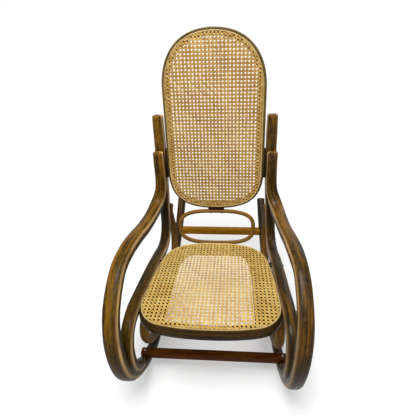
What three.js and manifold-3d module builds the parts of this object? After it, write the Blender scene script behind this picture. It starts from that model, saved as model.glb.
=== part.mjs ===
// Bentwood rocking chair with cane seat and cane back.
//
// Millimetres, +Z up. The sitter faces -Y, and +X is on the right of someone
// who stands in front of the chair and looks at it.
//
// Every piece is drawn in the frame of the seat: x across, f forward along the
// seat from its rear edge, u up, square to the cane. One group then leans that
// frame back by SEAT_LEAN, the angle at which the empty chair comes to rest.

import * as THREE from 'three';
import { mergeVertices } from 'three/addons/utils/BufferGeometryUtils.js';
import ManifoldModule from 'manifold-3d';

const manifoldLibrary = await ManifoldModule();
manifoldLibrary.setup();
const { Manifold, Mesh: ManifoldMesh } = manifoldLibrary;

// Driving dimensions
const SEAT_LEAN = THREE.MathUtils.degToRad(11);
const GAP = 0.3;                    // air left between pieces that touch
const DRILL_PLAY = 0.3;             // a hole is this much larger in radius than its screw

const SEAT_REAR_HALF = 201;         // half width of the seat at its rear corners
const SEAT_FRONT_HALF = 218.5;      // half width at the widest place, near the front
const SEAT_DEPTH = 432;
const SEAT_RIM_WIDTH = 21;
const SEAT_RIM_HEIGHT = 38;
const SEAT_RIM_TOP = -1.9;          // the rim lies just below the face of the cane
const INNER_RAIL_THICK = 15;        // flat rail inside the rim, below the cane's edge
const INNER_RAIL_TOP = -1;          // its top below the rim's
const SEAT_OPENING_HALF = 134;      // half width of the opening that it leaves
const SEAT_OPENING_REAR = 66;       // and the opening's rear edge

const BACK_HALF = 181;              // half width of the back panel
const BACK_HEIGHT = 654;
const BACK_FOOT_U = 147;            // lowest edge of the panel above the seat
const BACK_FACE_F = -18;            // front face of the panel's wooden rim
const BACK_RIM_WIDTH = 24;
const BACK_RIM_DEPTH = 21;

const CANE_THICK = 1.6;
const GROOVE_WIDTH = 5;
const GROOVE_DEPTH = 3.5;
const SEAT_GROOVE_INSET = 2.6;      // from the rim's outer edge to the groove
const BACK_GROOVE_INSET = 7.2;

const ROCKER_RADIUS = 830;          // the arc that the centre of the runner follows
const ROCKER_HUB_F = 203;           // middle of that arc
const RUNNER_FOOT_U = -313;         // the arc's lowest height, square to the seat
const ROCKER_FACET = THREE.MathUtils.degToRad(3.45);
const ROCKER_FRONT_FACETS = 4;      // flats of the arc ahead of its lowest point
const ROCKER_REAR_FACETS = 12;      // and behind it, to the tail
const RUNNER_THICK = 33;
const RUNNER_TAIL_THICK = 40;       // the rod is stouter towards the tail
const RUNNER_TAIL_X = 214;          // the runners draw together towards the tail

const ARM_U = 151;                  // centre of the arm above the seat
const ARM_THICK = 44;
const LOOP_THICK = 43;              // thickest place of the rod, in the front loop
const LOOP_REACH = 46;              // front loop beyond the seat's front edge
const LAP_TOP_U = 388;              // where the arm's upper end laps the upright
const UPRIGHT_TOP_U = 519;
const UPRIGHT_THICK = 40;
const RAIL_THICK = 42;              // the same rod beside the seat
const CURL_THICK = 29;              // and at its tip under the seat's front
const SCROLL_THICK = 31;

const STRETCHER_OVERHANG = 15;      // bar on top of the runners, near the front
const STRETCHER_WIDTH = 26;
const STRETCHER_HEIGHT = 24;
const STRETCHER_SETBACK = 130;      // behind the seat's front edge
const STRETCHER_SINK = 1;           // depth of its notch in the runner
const REAR_BAR_F = -311;            // bar between the runners, near the tail
const REAR_BAR_WIDTH = 36;
const REAR_BAR_HEIGHT = 31;

const BRACE_HALF_WIDTH = 149;       // oval ring between seat and back, to its centre line
const BRACE_THICK = 16;

const SPACER_HEIGHT = 114;          // dark blocks that hold the panel between the uprights
const SPACER_MIDDLE_U = 335;

// Places that follow from these sizes
const BACK_ROD_X = BACK_HALF + 26;            // uprights beside the back panel
const BACK_ROD_F = BACK_FACE_F - 15;
const REAR_RAIL_X = SEAT_REAR_HALF + 36;      // uprights beside the rear of the seat
const REAR_RAIL_OUT = 54.5;
const RAIL_OUT = 24;
const RAIL_X = SEAT_FRONT_HALF + RAIL_OUT;
const ARM_X = SEAT_FRONT_HALF + 29.5;
const RUNNER_FRONT_X = SEAT_FRONT_HALF + 18.5;
const SCROLL_X = SEAT_FRONT_HALF + 1.5;
const STRETCHER_F = SEAT_DEPTH - STRETCHER_SETBACK;
const LOOP_FRONT_F = SEAT_DEPTH + LOOP_REACH;
const SEAT_UNDER_U = SEAT_RIM_TOP - SEAT_RIM_HEIGHT;
const ROCKER_HUB_U = RUNNER_FOOT_U + ROCKER_RADIUS;
const BRACE_TOP_U = BACK_FOOT_U - 1 - BRACE_THICK;
const BRACE_TOP_F = BACK_FACE_F - BACK_RIM_DEPTH / 2 - 0.5;
const BRACE_FOOT_U = SEAT_RIM_TOP - 10;
const BRACE_FOOT_F = -10 - BRACE_THICK / 2;

// Finishes
const finish = (color, roughness, metalness = 0) =>
  new THREE.MeshStandardMaterial({ color, roughness, metalness });

const walnut = finish(0x5a3d1c, 0.42);
const redWalnut = finish(0x4a2410, 0.45);
const amberWood = finish(0x7d5526, 0.45);
const darkWood = finish(0x2b1a0e, 0.55);
const cane = finish(0xd9b877, 0.6);
const caneSpline = finish(0xdcc793, 0.55);
const steel = finish(0x6d675e, 0.4, 0.85);

// Points of the seat frame: across, forward, up
const at = (x, f, u) => new THREE.Vector3(x, -f, u);
const mirrored = (points) => points.map((p) => new THREE.Vector3(-p.x, p.y, p.z));

// Solids
function enclosedVolume(positions, corners) {
  const [a, b, c] = [new THREE.Vector3(), new THREE.Vector3(), new THREE.Vector3()];
  let volume = 0;
  for (let i = 0; i < corners.length; i += 3) {
    a.fromArray(positions, corners[i] * 3);
    b.fromArray(positions, corners[i + 1] * 3);
    c.fromArray(positions, corners[i + 2] * 3);
    volume += a.dot(b.cross(c)) / 6;
  }
  return volume;
}

// A closed solid, with its faces turned outwards whichever way it was drawn.
function solidFrom(geometry) {
  const clean = new THREE.BufferGeometry();
  clean.setAttribute('position', geometry.getAttribute('position').clone());
  if (geometry.index) clean.setIndex(geometry.index.clone());
  const merged = mergeVertices(clean, 1e-4);
  const positions = new Float32Array(merged.getAttribute('position').array);
  const corners = new Uint32Array(merged.index.array);
  if (enclosedVolume(positions, corners) < 0) corners.reverse();
  return new Manifold(new ManifoldMesh({ numProp: 3, vertProperties: positions, triVerts: corners }));
}

function toGeometry(solid) {
  const mesh = solid.getMesh();
  const geometry = new THREE.BufferGeometry();
  const step = mesh.numProp;
  const count = mesh.vertProperties.length / step;
  const positions = new Float32Array(count * 3);
  for (let i = 0; i < count; i += 1) {
    positions.set(mesh.vertProperties.subarray(i * step, i * step + 3), i * 3);
  }
  geometry.setAttribute('position', new THREE.BufferAttribute(positions, 3));
  geometry.setIndex(new THREE.BufferAttribute(new Uint32Array(mesh.triVerts), 1));
  return geometry;
}

const cutAll = (solid, tools) => tools.reduce((left, tool) => left.subtract(tool), solid);

// A rod of round section: one ring of points at each station, closed at both
// ends unless it runs round to its own start. A flat of the section faces away
// from the hollow side, so that a runner stands on a facet and not on an edge.
function rod(stations, sides, { closed = false, swell = 0 } = {}) {
  const count = stations.length;
  const firstCorner = sides % 4 === 0 ? 0.5 : 0;
  const positions = [];
  stations.forEach(({ point, radius }, i) => {
    const before = stations[closed ? (i - 1 + count) % count : Math.max(i - 1, 0)].point;
    const after = stations[closed ? (i + 1) % count : Math.min(i + 1, count - 1)].point;
    const along = after.clone().sub(before).normalize();
    const across = closed ? new THREE.Vector3(0, 1, 0) : new THREE.Vector3(1, 0, 0);
    across.addScaledVector(along, -across.dot(along)).normalize();
    const out = new THREE.Vector3().crossVectors(along, across);
    for (let k = 0; k < sides; k += 1) {
      const angle = ((k + firstCorner) / sides) * Math.PI * 2;
      const p = point.clone()
        .addScaledVector(across, Math.cos(angle) * (radius + swell))
        .addScaledVector(out, Math.sin(angle) * (radius + swell));
      positions.push(p.x, p.y, p.z);
    }
  });
  const index = [];
  const rings = closed ? count : count - 1;
  for (let i = 0; i < rings; i += 1) {
    const j = (i + 1) % count;
    for (let k = 0; k < sides; k += 1) {
      const m = (k + 1) % sides;
      index.push(i * sides + k, i * sides + m, j * sides + m);
      index.push(i * sides + k, j * sides + m, j * sides + k);
    }
  }
  if (!closed) {
    const last = (count - 1) * sides;
    for (let k = 1; k < sides - 1; k += 1) {
      index.push(0, k + 1, k);
      index.push(last, last + k, last + k + 1);
    }
  }
  const geometry = new THREE.BufferGeometry();
  geometry.setAttribute('position', new THREE.Float32BufferAttribute(positions, 3));
  geometry.setIndex(index);
  return solidFrom(geometry);
}

// Stations at even steps along a smooth curve through points that each carry
// the rod's thickness there.
function stationsAlong(marks, count) {
  const curve = new THREE.CatmullRomCurve3(marks.map((m) => m.point), false, 'centripetal');
  const stations = [];
  for (let i = 0; i < count; i += 1) {
    const t = curve.getUtoTmapping(i / (count - 1));
    const place = t * (marks.length - 1);
    const k = Math.min(Math.floor(place), marks.length - 2);
    const thick = THREE.MathUtils.lerp(marks[k].thick, marks[k + 1].thick, place - k);
    stations.push({ point: curve.getPoint(t), radius: thick / 2 });
  }
  return stations;
}

const mark = (x, f, u, thick) => ({ point: at(x, f, u), thick });

function box(width, depth, height, centre) {
  const geometry = new THREE.BoxGeometry(width, depth, height);
  geometry.translate(centre.x, centre.y, centre.z);
  return solidFrom(geometry);
}

// A bar along x with its four long edges and its ends eased.
function easedBar(half, width, height, ease, centre) {
  const shape = new THREE.Shape();
  const w = width / 2;
  const h = height / 2;
  shape.moveTo(-w + ease, -h);
  shape.lineTo(w - ease, -h);
  shape.lineTo(w, -h + ease);
  shape.lineTo(w, h - ease);
  shape.lineTo(w - ease, h);
  shape.lineTo(-w + ease, h);
  shape.lineTo(-w, h - ease);
  shape.lineTo(-w, -h + ease);
  shape.closePath();
  const geometry = new THREE.ExtrudeGeometry(shape, {
    depth: 2 * (half - ease),
    bevelEnabled: true,
    bevelThickness: ease,
    bevelSize: ease,
    bevelOffset: -ease,
    bevelSegments: 1,
  });
  geometry.translate(0, 0, -(half - ease));
  geometry.rotateY(Math.PI / 2);
  geometry.rotateX(Math.PI / 2);
  geometry.translate(centre.x, centre.y, centre.z);
  return solidFrom(geometry);
}

// Screws and bolts: a domed head, and a shank that ends in a short point.
function screwProfile({ head, shank, length, dome }) {
  return [
    new THREE.Vector2(0, -length),
    new THREE.Vector2(shank, -length + shank * 1.5),
    new THREE.Vector2(shank, 0),
    new THREE.Vector2(head, 0),
    new THREE.Vector2(head * 0.86, dome * 0.66),
    new THREE.Vector2(0, dome),
  ];
}

// Moves a shape that stands on the y axis so that it stands at `from` with its
// foot towards `to`.
function aim(geometry, from, to) {
  const direction = from.clone().sub(to).normalize();
  const turn = new THREE.Quaternion().setFromUnitVectors(new THREE.Vector3(0, 1, 0), direction);
  geometry.applyQuaternion(turn);
  geometry.translate(from.x, from.y, from.z);
  return geometry;
}

function screwGeometry(screw) {
  const length = screw.from.distanceTo(screw.to);
  const profile = screwProfile({ ...screw.size, length });
  return aim(new THREE.LatheGeometry(profile, 8), screw.from, screw.to);
}

// The hole for a screw, from well outside the head to just past the point.
function drillFor(screw, counterbore = 0) {
  const length = screw.from.distanceTo(screw.to);
  const radius = screw.size.shank + DRILL_PLAY;
  const hole = new THREE.CylinderGeometry(radius, radius, length + counterbore + 1, 10);
  hole.translate(0, (counterbore - length - 1) / 2, 0);
  const shaft = solidFrom(aim(hole, screw.from, screw.to));
  const outside = new THREE.CylinderGeometry(screw.size.head + GAP, screw.size.head + GAP, 30, 12);
  outside.translate(0, 15 - GAP, 0);
  return shaft.add(solidFrom(aim(outside, screw.from, screw.to)));
}

const WOOD_SCREW = { head: 4.6, shank: 2.2, dome: 2.2 };
const CARRIAGE_BOLT = { head: 7.5, shank: 3, dome: 3.2 };

// Outlines, as half shapes on the +x side that are mirrored into a closed loop
function closeByMirror(half) {
  const other = half.slice(1, -1).reverse().map((p) => new THREE.Vector2(-p.x, p.y));
  return [...half, ...other];
}

function halfOutline(curves, steps) {
  const path = new THREE.CurvePath();
  curves.forEach((c) => path.add(c));
  const points = [];
  for (let i = 0; i <= steps; i += 1) points.push(path.getPointAt(i / steps));
  return points;
}

const bezier = (...xy) => new THREE.CubicBezierCurve(
  new THREE.Vector2(xy[0], xy[1]),
  new THREE.Vector2(xy[2], xy[3]),
  new THREE.Vector2(xy[4], xy[5]),
  new THREE.Vector2(xy[6], xy[7]),
);

// Seat outline in (x, f): a bowed rear edge, nearly straight sides that open
// towards the front, tight front corners and a bowed front edge.
function seatOutline(steps) {
  const rear = SEAT_REAR_HALF;
  const front = SEAT_FRONT_HALF;
  const depth = SEAT_DEPTH;
  return closeByMirror(halfOutline([
    bezier(0, 0, rear * 0.55, 0, rear * 0.92, 22, rear, 120),
    bezier(rear, 120, rear + 9, 175, front - 1.5, 260, front, 325),
    bezier(front, 325, front + 1, 365, 196, depth - 25, 150, depth - 14),
    bezier(150, depth - 14, 104, depth - 3, 50, depth, 0, depth),
  ], steps));
}

// Half width of the seat at a distance forward of its rear edge
function seatHalfAt(f) {
  const half = seatOutline(96).slice(0, 97);
  const i = half.findIndex((p) => p.y >= f);
  const [near, far] = [half[i - 1], half[i]];
  return THREE.MathUtils.lerp(near.x, far.x, (f - near.y) / (far.y - near.y));
}

// Back outline in (x, height above the panel's foot): a full arch on top, long
// straight sides and a flatter arch below.
function backOutline(steps) {
  const half = BACK_HALF;
  const top = BACK_HEIGHT;
  return closeByMirror(halfOutline([
    bezier(0, 0, 112, 0, half, 32, half, 152),
    new THREE.LineCurve(new THREE.Vector2(half, 152), new THREE.Vector2(half, top - 185)),
    bezier(half, top - 185, half - 5, top - 56, 100, top, 0, top),
  ], steps));
}

// Unit normals that point into a closed outline.
function inwardNormals(loop) {
  const count = loop.length;
  const turning = THREE.ShapeUtils.area(loop) > 0 ? 1 : -1;
  return loop.map((p, i) => {
    const along = loop[(i + 1) % count].clone().sub(loop[(i - 1 + count) % count]).normalize();
    return new THREE.Vector2(-along.y * turning, along.x * turning);
  });
}

const inset = (loop, distance) => {
  const normals = inwardNormals(loop);
  return loop.map((p, i) => p.clone().addScaledVector(normals[i], distance));
};

// Sweeps a closed section round a closed outline. The section's points are
// (distance inwards, height), and lift(p, height) places them in space.
function ring(loop, section, lift) {
  const normals = inwardNormals(loop);
  const positions = [];
  loop.forEach((p, i) => {
    section.forEach(([inwards, height]) => {
      const q = lift(p.clone().addScaledVector(normals[i], inwards), height);
      positions.push(q.x, q.y, q.z);
    });
  });
  const n = section.length;
  const index = [];
  for (let i = 0; i < loop.length; i += 1) {
    const j = (i + 1) % loop.length;
    for (let k = 0; k < n; k += 1) {
      const m = (k + 1) % n;
      index.push(i * n + k, j * n + k, j * n + m);
      index.push(i * n + k, j * n + m, i * n + m);
    }
  }
  const geometry = new THREE.BufferGeometry();
  geometry.setAttribute('position', new THREE.Float32BufferAttribute(positions, 3));
  geometry.setIndex(index);
  return solidFrom(geometry);
}

const liftSeat = (p, height) => at(p.x, p.y, SEAT_RIM_TOP + height);
const liftBack = (p, height) => at(p.x, BACK_FACE_F + height, BACK_FOOT_U + p.y);

// A woven panel as a flat net: a thin plate with rows of square-cornered gaps
// that stay inside `margin` of its edge. The pitch is several strands wide.
function net(loop, { pitchX, pitchY, bar, margin, start }, lift) {
  const limit = inset(loop, margin);
  const inside = (x, y) => {
    let hit = false;
    for (let i = 0, j = limit.length - 1; i < limit.length; j = i, i += 1) {
      const a = limit[i];
      const b = limit[j];
      if ((a.y > y) !== (b.y > y) && x < ((b.x - a.x) * (y - a.y)) / (b.y - a.y) + a.x) hit = !hit;
    }
    return hit;
  };
  const gaps = [];
  const w = (pitchX - bar) / 2;
  const h = (pitchY - bar) / 2;
  for (let row = 0; row < 40; row += 1) {
    for (let column = -12; column <= 12; column += 1) {
      const x = column * pitchX;
      const y = start + row * pitchY;
      const corners = [[x - w, y - h], [x - w, y + h], [x + w, y + h], [x + w, y - h]];
      if (corners.every(([a, b]) => inside(a, b))) {
        const gap = new THREE.BoxGeometry(2 * w, 2 * h, CANE_THICK * 3);
        gap.translate(x, y, CANE_THICK / 2);
        gaps.push(solidFrom(gap));
      }
    }
  }
  return placed(cutAll(plate(loop, CANE_THICK), gaps), lift);
}

// A flat plate with the outline of a loop, its foot at `from`.
function plate(loop, thickness, from = 0) {
  const shape = new THREE.Shape(loop);
  const geometry = new THREE.ExtrudeGeometry(shape, { depth: thickness, bevelEnabled: false });
  geometry.translate(0, 0, from);
  return solidFrom(geometry);
}

// A solid drawn in (x, y, height), moved to its place by lift(p, height).
function placed(solid, lift) {
  const geometry = toGeometry(solid);
  const position = geometry.getAttribute('position');
  for (let i = 0; i < position.count; i += 1) {
    const q = lift(new THREE.Vector2(position.getX(i), position.getY(i)), position.getZ(i));
    position.setXYZ(i, q.x, q.y, q.z);
  }
  return solidFrom(geometry);
}

// Section of a rim with the groove that holds the cane's edge under its spline
function rimSection(width, height, bulge, grooveInset) {
  const g0 = grooveInset;
  const g1 = grooveInset + GROOVE_WIDTH;
  const round = Math.min(3, g0 * 0.6);
  return [
    [round, 0], [g0, 0], [g0, -GROOVE_DEPTH], [g1, -GROOVE_DEPTH], [g1, 0],
    [width, 0], [width, -height + 2], [width - 3, -height], [4, -height],
    [-bulge, -height + 7], [-bulge, -height * 0.42], [-bulge * 0.2, -height * 0.3], [0, -3],
  ];
}

const splineSection = (grooveInset) => [
  [grooveInset + GAP, -GROOVE_DEPTH + GAP],
  [grooveInset + GAP, CANE_THICK * 0.7],
  [grooveInset + GROOVE_WIDTH / 2, CANE_THICK * 1.3],
  [grooveInset + GROOVE_WIDTH - GAP, CANE_THICK * 0.7],
  [grooveInset + GROOVE_WIDTH - GAP, -GROOVE_DEPTH + GAP],
];

const caneEdge = (grooveInset) => grooveInset + GROOVE_WIDTH + GAP;

// The rocker arc, from the lowest point: +turn runs back towards the tail. A
// stouter rod is lifted by half of what it gains, so that its sole keeps the arc.
function rockerPoint(turn, side = 1, lift = 0) {
  const angle = SEAT_LEAN + turn;
  const f = ROCKER_HUB_F - (ROCKER_RADIUS - lift) * Math.sin(angle);
  const u = ROCKER_HUB_U - (ROCKER_RADIUS - lift) * Math.cos(angle);
  const share = THREE.MathUtils.clamp((310 - f) / 740, 0, 1);
  return at(side * THREE.MathUtils.lerp(RUNNER_FRONT_X, RUNNER_TAIL_X, share), f, u);
}

// Where the runner's centre line crosses a distance forward of the seat's rear edge
function rockerAt(f, side = 1) {
  return rockerPoint(Math.asin((ROCKER_HUB_F - f) / ROCKER_RADIUS) - SEAT_LEAN, side);
}

// Arm, front loop and runner are one bent rod
function armRockerStations() {
  const foot = RUNNER_FOOT_U;
  const hub = ROCKER_HUB_F;
  const front = LOOP_FRONT_F;
  const marks = [
    mark(BACK_ROD_X + 2.5, BACK_ROD_F + 30, LAP_TOP_U, ARM_THICK - 6),
    mark(BACK_ROD_X + 2.5, BACK_ROD_F + 28, LAP_TOP_U - 53, ARM_THICK - 6),
    mark(BACK_ROD_X + 4, BACK_ROD_F + 20, LAP_TOP_U - 108, ARM_THICK - 4),
    mark(BACK_ROD_X + 9, BACK_ROD_F + 13, ARM_U + 77, ARM_THICK - 1),
    mark(ARM_X - 21, BACK_ROD_F + 23, ARM_U + 36, ARM_THICK + 3),
    mark(ARM_X - 12, BACK_ROD_F + 51, ARM_U + 11, ARM_THICK + 3),
    mark(ARM_X - 6, BACK_ROD_F + 105, ARM_U, ARM_THICK),
    mark(ARM_X - 1, 150, ARM_U, ARM_THICK - 1),
    mark(ARM_X + 4, 225, ARM_U + 8, ARM_THICK),
    mark(ARM_X + 8, front - 180, ARM_U + 10, ARM_THICK),
    mark(ARM_X + 12, front - 122, ARM_U - 5, LOOP_THICK - 1),
    mark(ARM_X + 13, front - 76, ARM_U - 38, LOOP_THICK),
    mark(ARM_X + 11, front - 32, ARM_U - 84, LOOP_THICK),
    mark(ARM_X + 7, front - 6, 9, LOOP_THICK),
    mark(ARM_X + 2, front, -60, LOOP_THICK - 1),
    mark(ARM_X - 2, front - 15, foot + 181, LOOP_THICK - 3),
    mark(ARM_X - 5, front - 50, foot + 120, RUNNER_THICK + 4),
    mark(RUNNER_FRONT_X + 3, front - 93, foot + 78, RUNNER_THICK + 2),
    mark(RUNNER_FRONT_X + 1, hub + 137, foot + 47, RUNNER_THICK + 1),
    mark(RUNNER_FRONT_X, hub + 93, foot + 23, RUNNER_THICK),
    mark(RUNNER_FRONT_X - 1, hub + 54, foot + 8, RUNNER_THICK),
  ];
  for (let k = ROCKER_FRONT_FACETS; k > ROCKER_FRONT_FACETS - 2; k -= 1) {
    marks.push({ point: rockerPoint((0.5 - k) * ROCKER_FACET), thick: RUNNER_THICK });
  }
  const stations = stationsAlong(marks, 40);
  for (let k = 3 - ROCKER_FRONT_FACETS; k <= ROCKER_REAR_FACETS; k += 1) {
    const gain = (RUNNER_TAIL_THICK - RUNNER_THICK) * Math.max(0, (k - 2) / (ROCKER_REAR_FACETS - 2));
    stations.push({
      point: rockerPoint((k - 0.5) * ROCKER_FACET, 1, gain / 2),
      radius: (RUNNER_THICK + gain) / 2,
    });
  }
  return stations;
}

// Back upright, seat rail and front curl are one bent rod
function uprightStations() {
  const foot = RUNNER_FOOT_U;
  const front = SEAT_DEPTH;
  const marks = [
    mark(BACK_ROD_X, BACK_ROD_F + 3, UPRIGHT_TOP_U, UPRIGHT_THICK - 3),
    mark(BACK_ROD_X, BACK_ROD_F + 2, UPRIGHT_TOP_U - 49, UPRIGHT_THICK - 1),
    mark(BACK_ROD_X, BACK_ROD_F, UPRIGHT_TOP_U - 119, UPRIGHT_THICK),
    mark(BACK_ROD_X + 2, BACK_ROD_F - 9, UPRIGHT_TOP_U - 219, UPRIGHT_THICK),
    mark(BACK_ROD_X + 7, BACK_ROD_F - 25, ARM_U + 49, UPRIGHT_THICK),
    mark(REAR_RAIL_X - 16, BACK_ROD_F - 43, ARM_U - 51, UPRIGHT_THICK - 1),
    mark(REAR_RAIL_X - 11, BACK_ROD_F - 51, 20, UPRIGHT_THICK - 1),
    mark(REAR_RAIL_X - 8, BACK_ROD_F - 33, -28, UPRIGHT_THICK),
    mark(REAR_RAIL_X - 7, -10, -43, RAIL_THICK - 1),
    mark(seatHalfAt(60) + REAR_RAIL_OUT, 60, -37, RAIL_THICK),
    mark(seatHalfAt(150) + RAIL_OUT + 6, 150, -29, RAIL_THICK),
    mark(seatHalfAt(250) + RAIL_OUT - 1.5, 250, -24, RAIL_THICK),
    mark(RAIL_X - 2, front - 94, -22, RAIL_THICK - 2),
    mark(RAIL_X - 1, front - 38, -38, RAIL_THICK - 4),
    mark(RAIL_X - 2, front - 6, -80, RAIL_THICK - 4),
    mark(RAIL_X - 6, front + 1, -130, CURL_THICK + 8),
    mark(RAIL_X - 8, front - 15, foot + 139, CURL_THICK + 5),
    mark(RAIL_X - 10, front - 41, foot + 107, CURL_THICK + 3),
    mark(RAIL_X - 12, front - 72, foot + 84, CURL_THICK),
  ];
  return stationsAlong(marks, 34);
}

// The scroll below the seat curls at the front, lies on the runner and rises
// to the upright at the rear
function scrollStations() {
  const foot = RUNNER_FOOT_U;
  const front = SEAT_DEPTH;
  const marks = [
    mark(seatHalfAt(front - 252) - 5, front - 252, SEAT_UNDER_U - 15, SCROLL_THICK - 4),
    mark(seatHalfAt(front - 192) - 5, front - 192, SEAT_UNDER_U - 17, SCROLL_THICK - 2),
    mark(SCROLL_X - 4, front - 140, SEAT_UNDER_U - 32, SCROLL_THICK),
    mark(SCROLL_X, front - 107, SEAT_UNDER_U - 70, SCROLL_THICK),
    mark(SCROLL_X, front - 103, SEAT_UNDER_U - 106, SCROLL_THICK),
    mark(SCROLL_X - 1, front - 132, foot + 119, SCROLL_THICK),
    mark(SCROLL_X - 1, front - 180, foot + 81, SCROLL_THICK),
    mark(SCROLL_X, 185, foot + 47, SCROLL_THICK),
    mark(SCROLL_X, 115, foot + 35, SCROLL_THICK - 1),
    mark(SCROLL_X - 2, 35, foot + 50, SCROLL_THICK - 1),
    mark(SCROLL_X - 6, -50, foot + 87, SCROLL_THICK - 1),
    mark(REAR_RAIL_X - 27, BACK_ROD_F - 87, foot + 143, SCROLL_THICK - 1),
    mark(REAR_RAIL_X - 27, BACK_ROD_F - 125, foot + 217, SCROLL_THICK - 1),
    mark(REAR_RAIL_X - 26, BACK_ROD_F - 125, SEAT_UNDER_U + 18, SCROLL_THICK - 1),
    mark(REAR_RAIL_X - 25, BACK_ROD_F - 103, ARM_U - 115, SCROLL_THICK - 2),
    mark(REAR_RAIL_X - 26, BACK_ROD_F - 82, ARM_U - 65, SCROLL_THICK - 3),
    mark(REAR_RAIL_X - 31, BACK_ROD_F - 83, ARM_U - 33, SCROLL_THICK - 5),
  ];
  return stationsAlong(marks, 28);
}

// The oval ring leans from the rear face of the seat rim up to the foot of the
// back panel.
function braceStations() {
  const middleU = (BRACE_TOP_U + BRACE_FOOT_U) / 2;
  const halfHeight = (BRACE_TOP_U - BRACE_FOOT_U) / 2;
  const stations = [];
  const count = 32;
  const roundness = 3;
  for (let i = 0; i < count; i += 1) {
    const angle = (i / count) * Math.PI * 2;
    const c = Math.cos(angle);
    const s = Math.sin(angle);
    const reach = (Math.abs(c) ** roundness + Math.abs(s) ** roundness) ** (-1 / roundness);
    const share = (s * reach + 1) / 2;
    const f = THREE.MathUtils.lerp(BRACE_FOOT_F, BRACE_TOP_F, share);
    stations.push({
      point: at(BRACE_HALF_WIDTH * c * reach, f, middleU + halfHeight * s * reach),
      radius: BRACE_THICK / 2,
    });
  }
  return stations;
}

// Screws of one side, given on the +x side and mirrored for the other
const screw = (name, size, from, to) => ({ name, size, from: at(...from), to: at(...to) });

const armPath = armRockerStations();
const uprightPath = uprightStations();

// Where a rod's centre line crosses a distance forward of the seat's rear edge,
// counted from the rod's lower end
function crossing(stations, f) {
  for (let i = stations.length - 1; i > 0; i -= 1) {
    const near = stations[i].point;
    const far = stations[i - 1].point;
    if ((-near.y - f) * (-far.y - f) <= 0) {
      return near.clone().lerp(far, (f + near.y) / (near.y - far.y));
    }
  }
  return stations[0].point.clone();
}

const rearBarSeat = rockerAt(REAR_BAR_F);
const scrollSeat = rockerAt(118);
const stretcherSeat = crossing(armPath, STRETCHER_F);
const SLEEVE_F = 100;
const FRONT_BOLT_F = SEAT_DEPTH - 98;
const SCROLL_SCREW_F = SEAT_DEPTH - 217;
const scrollScrewX = seatHalfAt(SCROLL_SCREW_F) - 6;
const railRear = crossing(uprightPath, SLEEVE_F);
const railFront = crossing(uprightPath, FRONT_BOLT_F);
const STRETCHER_U = stretcherSeat.z + (RUNNER_THICK + STRETCHER_HEIGHT) / 2 - STRETCHER_SINK;
const spacerBolt = SPACER_HEIGHT / 2 - 30;
const boltIn = (f) => seatHalfAt(f) - SEAT_RIM_WIDTH / 2 + 2;

const sideScrews = [
  screw('seat_front_bolt', CARRIAGE_BOLT,
    [railFront.x + RAIL_THICK / 2 - 0.8, FRONT_BOLT_F, -22], [boltIn(FRONT_BOLT_F), FRONT_BOLT_F, -22]),
  screw('seat_rear_bolt', CARRIAGE_BOLT,
    [railRear.x + RAIL_THICK / 2 + 0.5, SLEEVE_F, -33], [boltIn(SLEEVE_F), SLEEVE_F, -25]),
  screw('arm_upper_bolt', CARRIAGE_BOLT,
    [BACK_ROD_X - 1.4, BACK_ROD_F - 21.9, LAP_TOP_U - 12],
    [BACK_ROD_X + 3.4, BACK_ROD_F + 35, LAP_TOP_U - 14]),
  screw('arm_lower_bolt', CARRIAGE_BOLT,
    [BACK_ROD_X - 1.5, BACK_ROD_F - 36, ARM_U + 95], [BACK_ROD_X + 14, BACK_ROD_F + 15, ARM_U + 95]),
  screw('back_upper_bolt', CARRIAGE_BOLT,
    [BACK_ROD_X + 21.3, BACK_ROD_F - 4, SPACER_MIDDLE_U + spacerBolt],
    [BACK_HALF - 18, BACK_ROD_F + 4, SPACER_MIDDLE_U + spacerBolt]),
  screw('back_lower_bolt', CARRIAGE_BOLT,
    [BACK_ROD_X + 22.3, BACK_ROD_F - 8, SPACER_MIDDLE_U - spacerBolt],
    [BACK_HALF - 18, BACK_ROD_F + 4, SPACER_MIDDLE_U - spacerBolt]),
  screw('curl_screw', WOOD_SCREW,
    [RAIL_X - 21.6, SEAT_DEPTH - 66, RUNNER_FOOT_U + 99],
    [RAIL_X - 2, SEAT_DEPTH - 62, RUNNER_FOOT_U + 69]),
  screw('scroll_front_screw', WOOD_SCREW,
    [scrollScrewX, SCROLL_SCREW_F, SEAT_UNDER_U - 30.7],
    [scrollScrewX, SCROLL_SCREW_F, SEAT_UNDER_U + 26]),
  screw('scroll_middle_screw', WOOD_SCREW,
    [SCROLL_X - 1, 118, RUNNER_FOOT_U + 51], [scrollSeat.x, 118, scrollSeat.z]),
  screw('scroll_rear_screw', WOOD_SCREW,
    [REAR_RAIL_X - 26.4, BACK_ROD_F - 97, 81], [REAR_RAIL_X - 18, BACK_ROD_F - 51, 83]),
  screw('stretcher_screw', WOOD_SCREW,
    [RUNNER_FRONT_X + 1, STRETCHER_F, STRETCHER_U + STRETCHER_HEIGHT / 2 + 0.5],
    [RUNNER_FRONT_X + 1, STRETCHER_F, stretcherSeat.z - 4]),
  screw('rear_bar_bolt', CARRIAGE_BOLT,
    [rearBarSeat.x + 35.5, REAR_BAR_F, rearBarSeat.z],
    [rearBarSeat.x - 52, REAR_BAR_F, rearBarSeat.z]),
];

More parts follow.
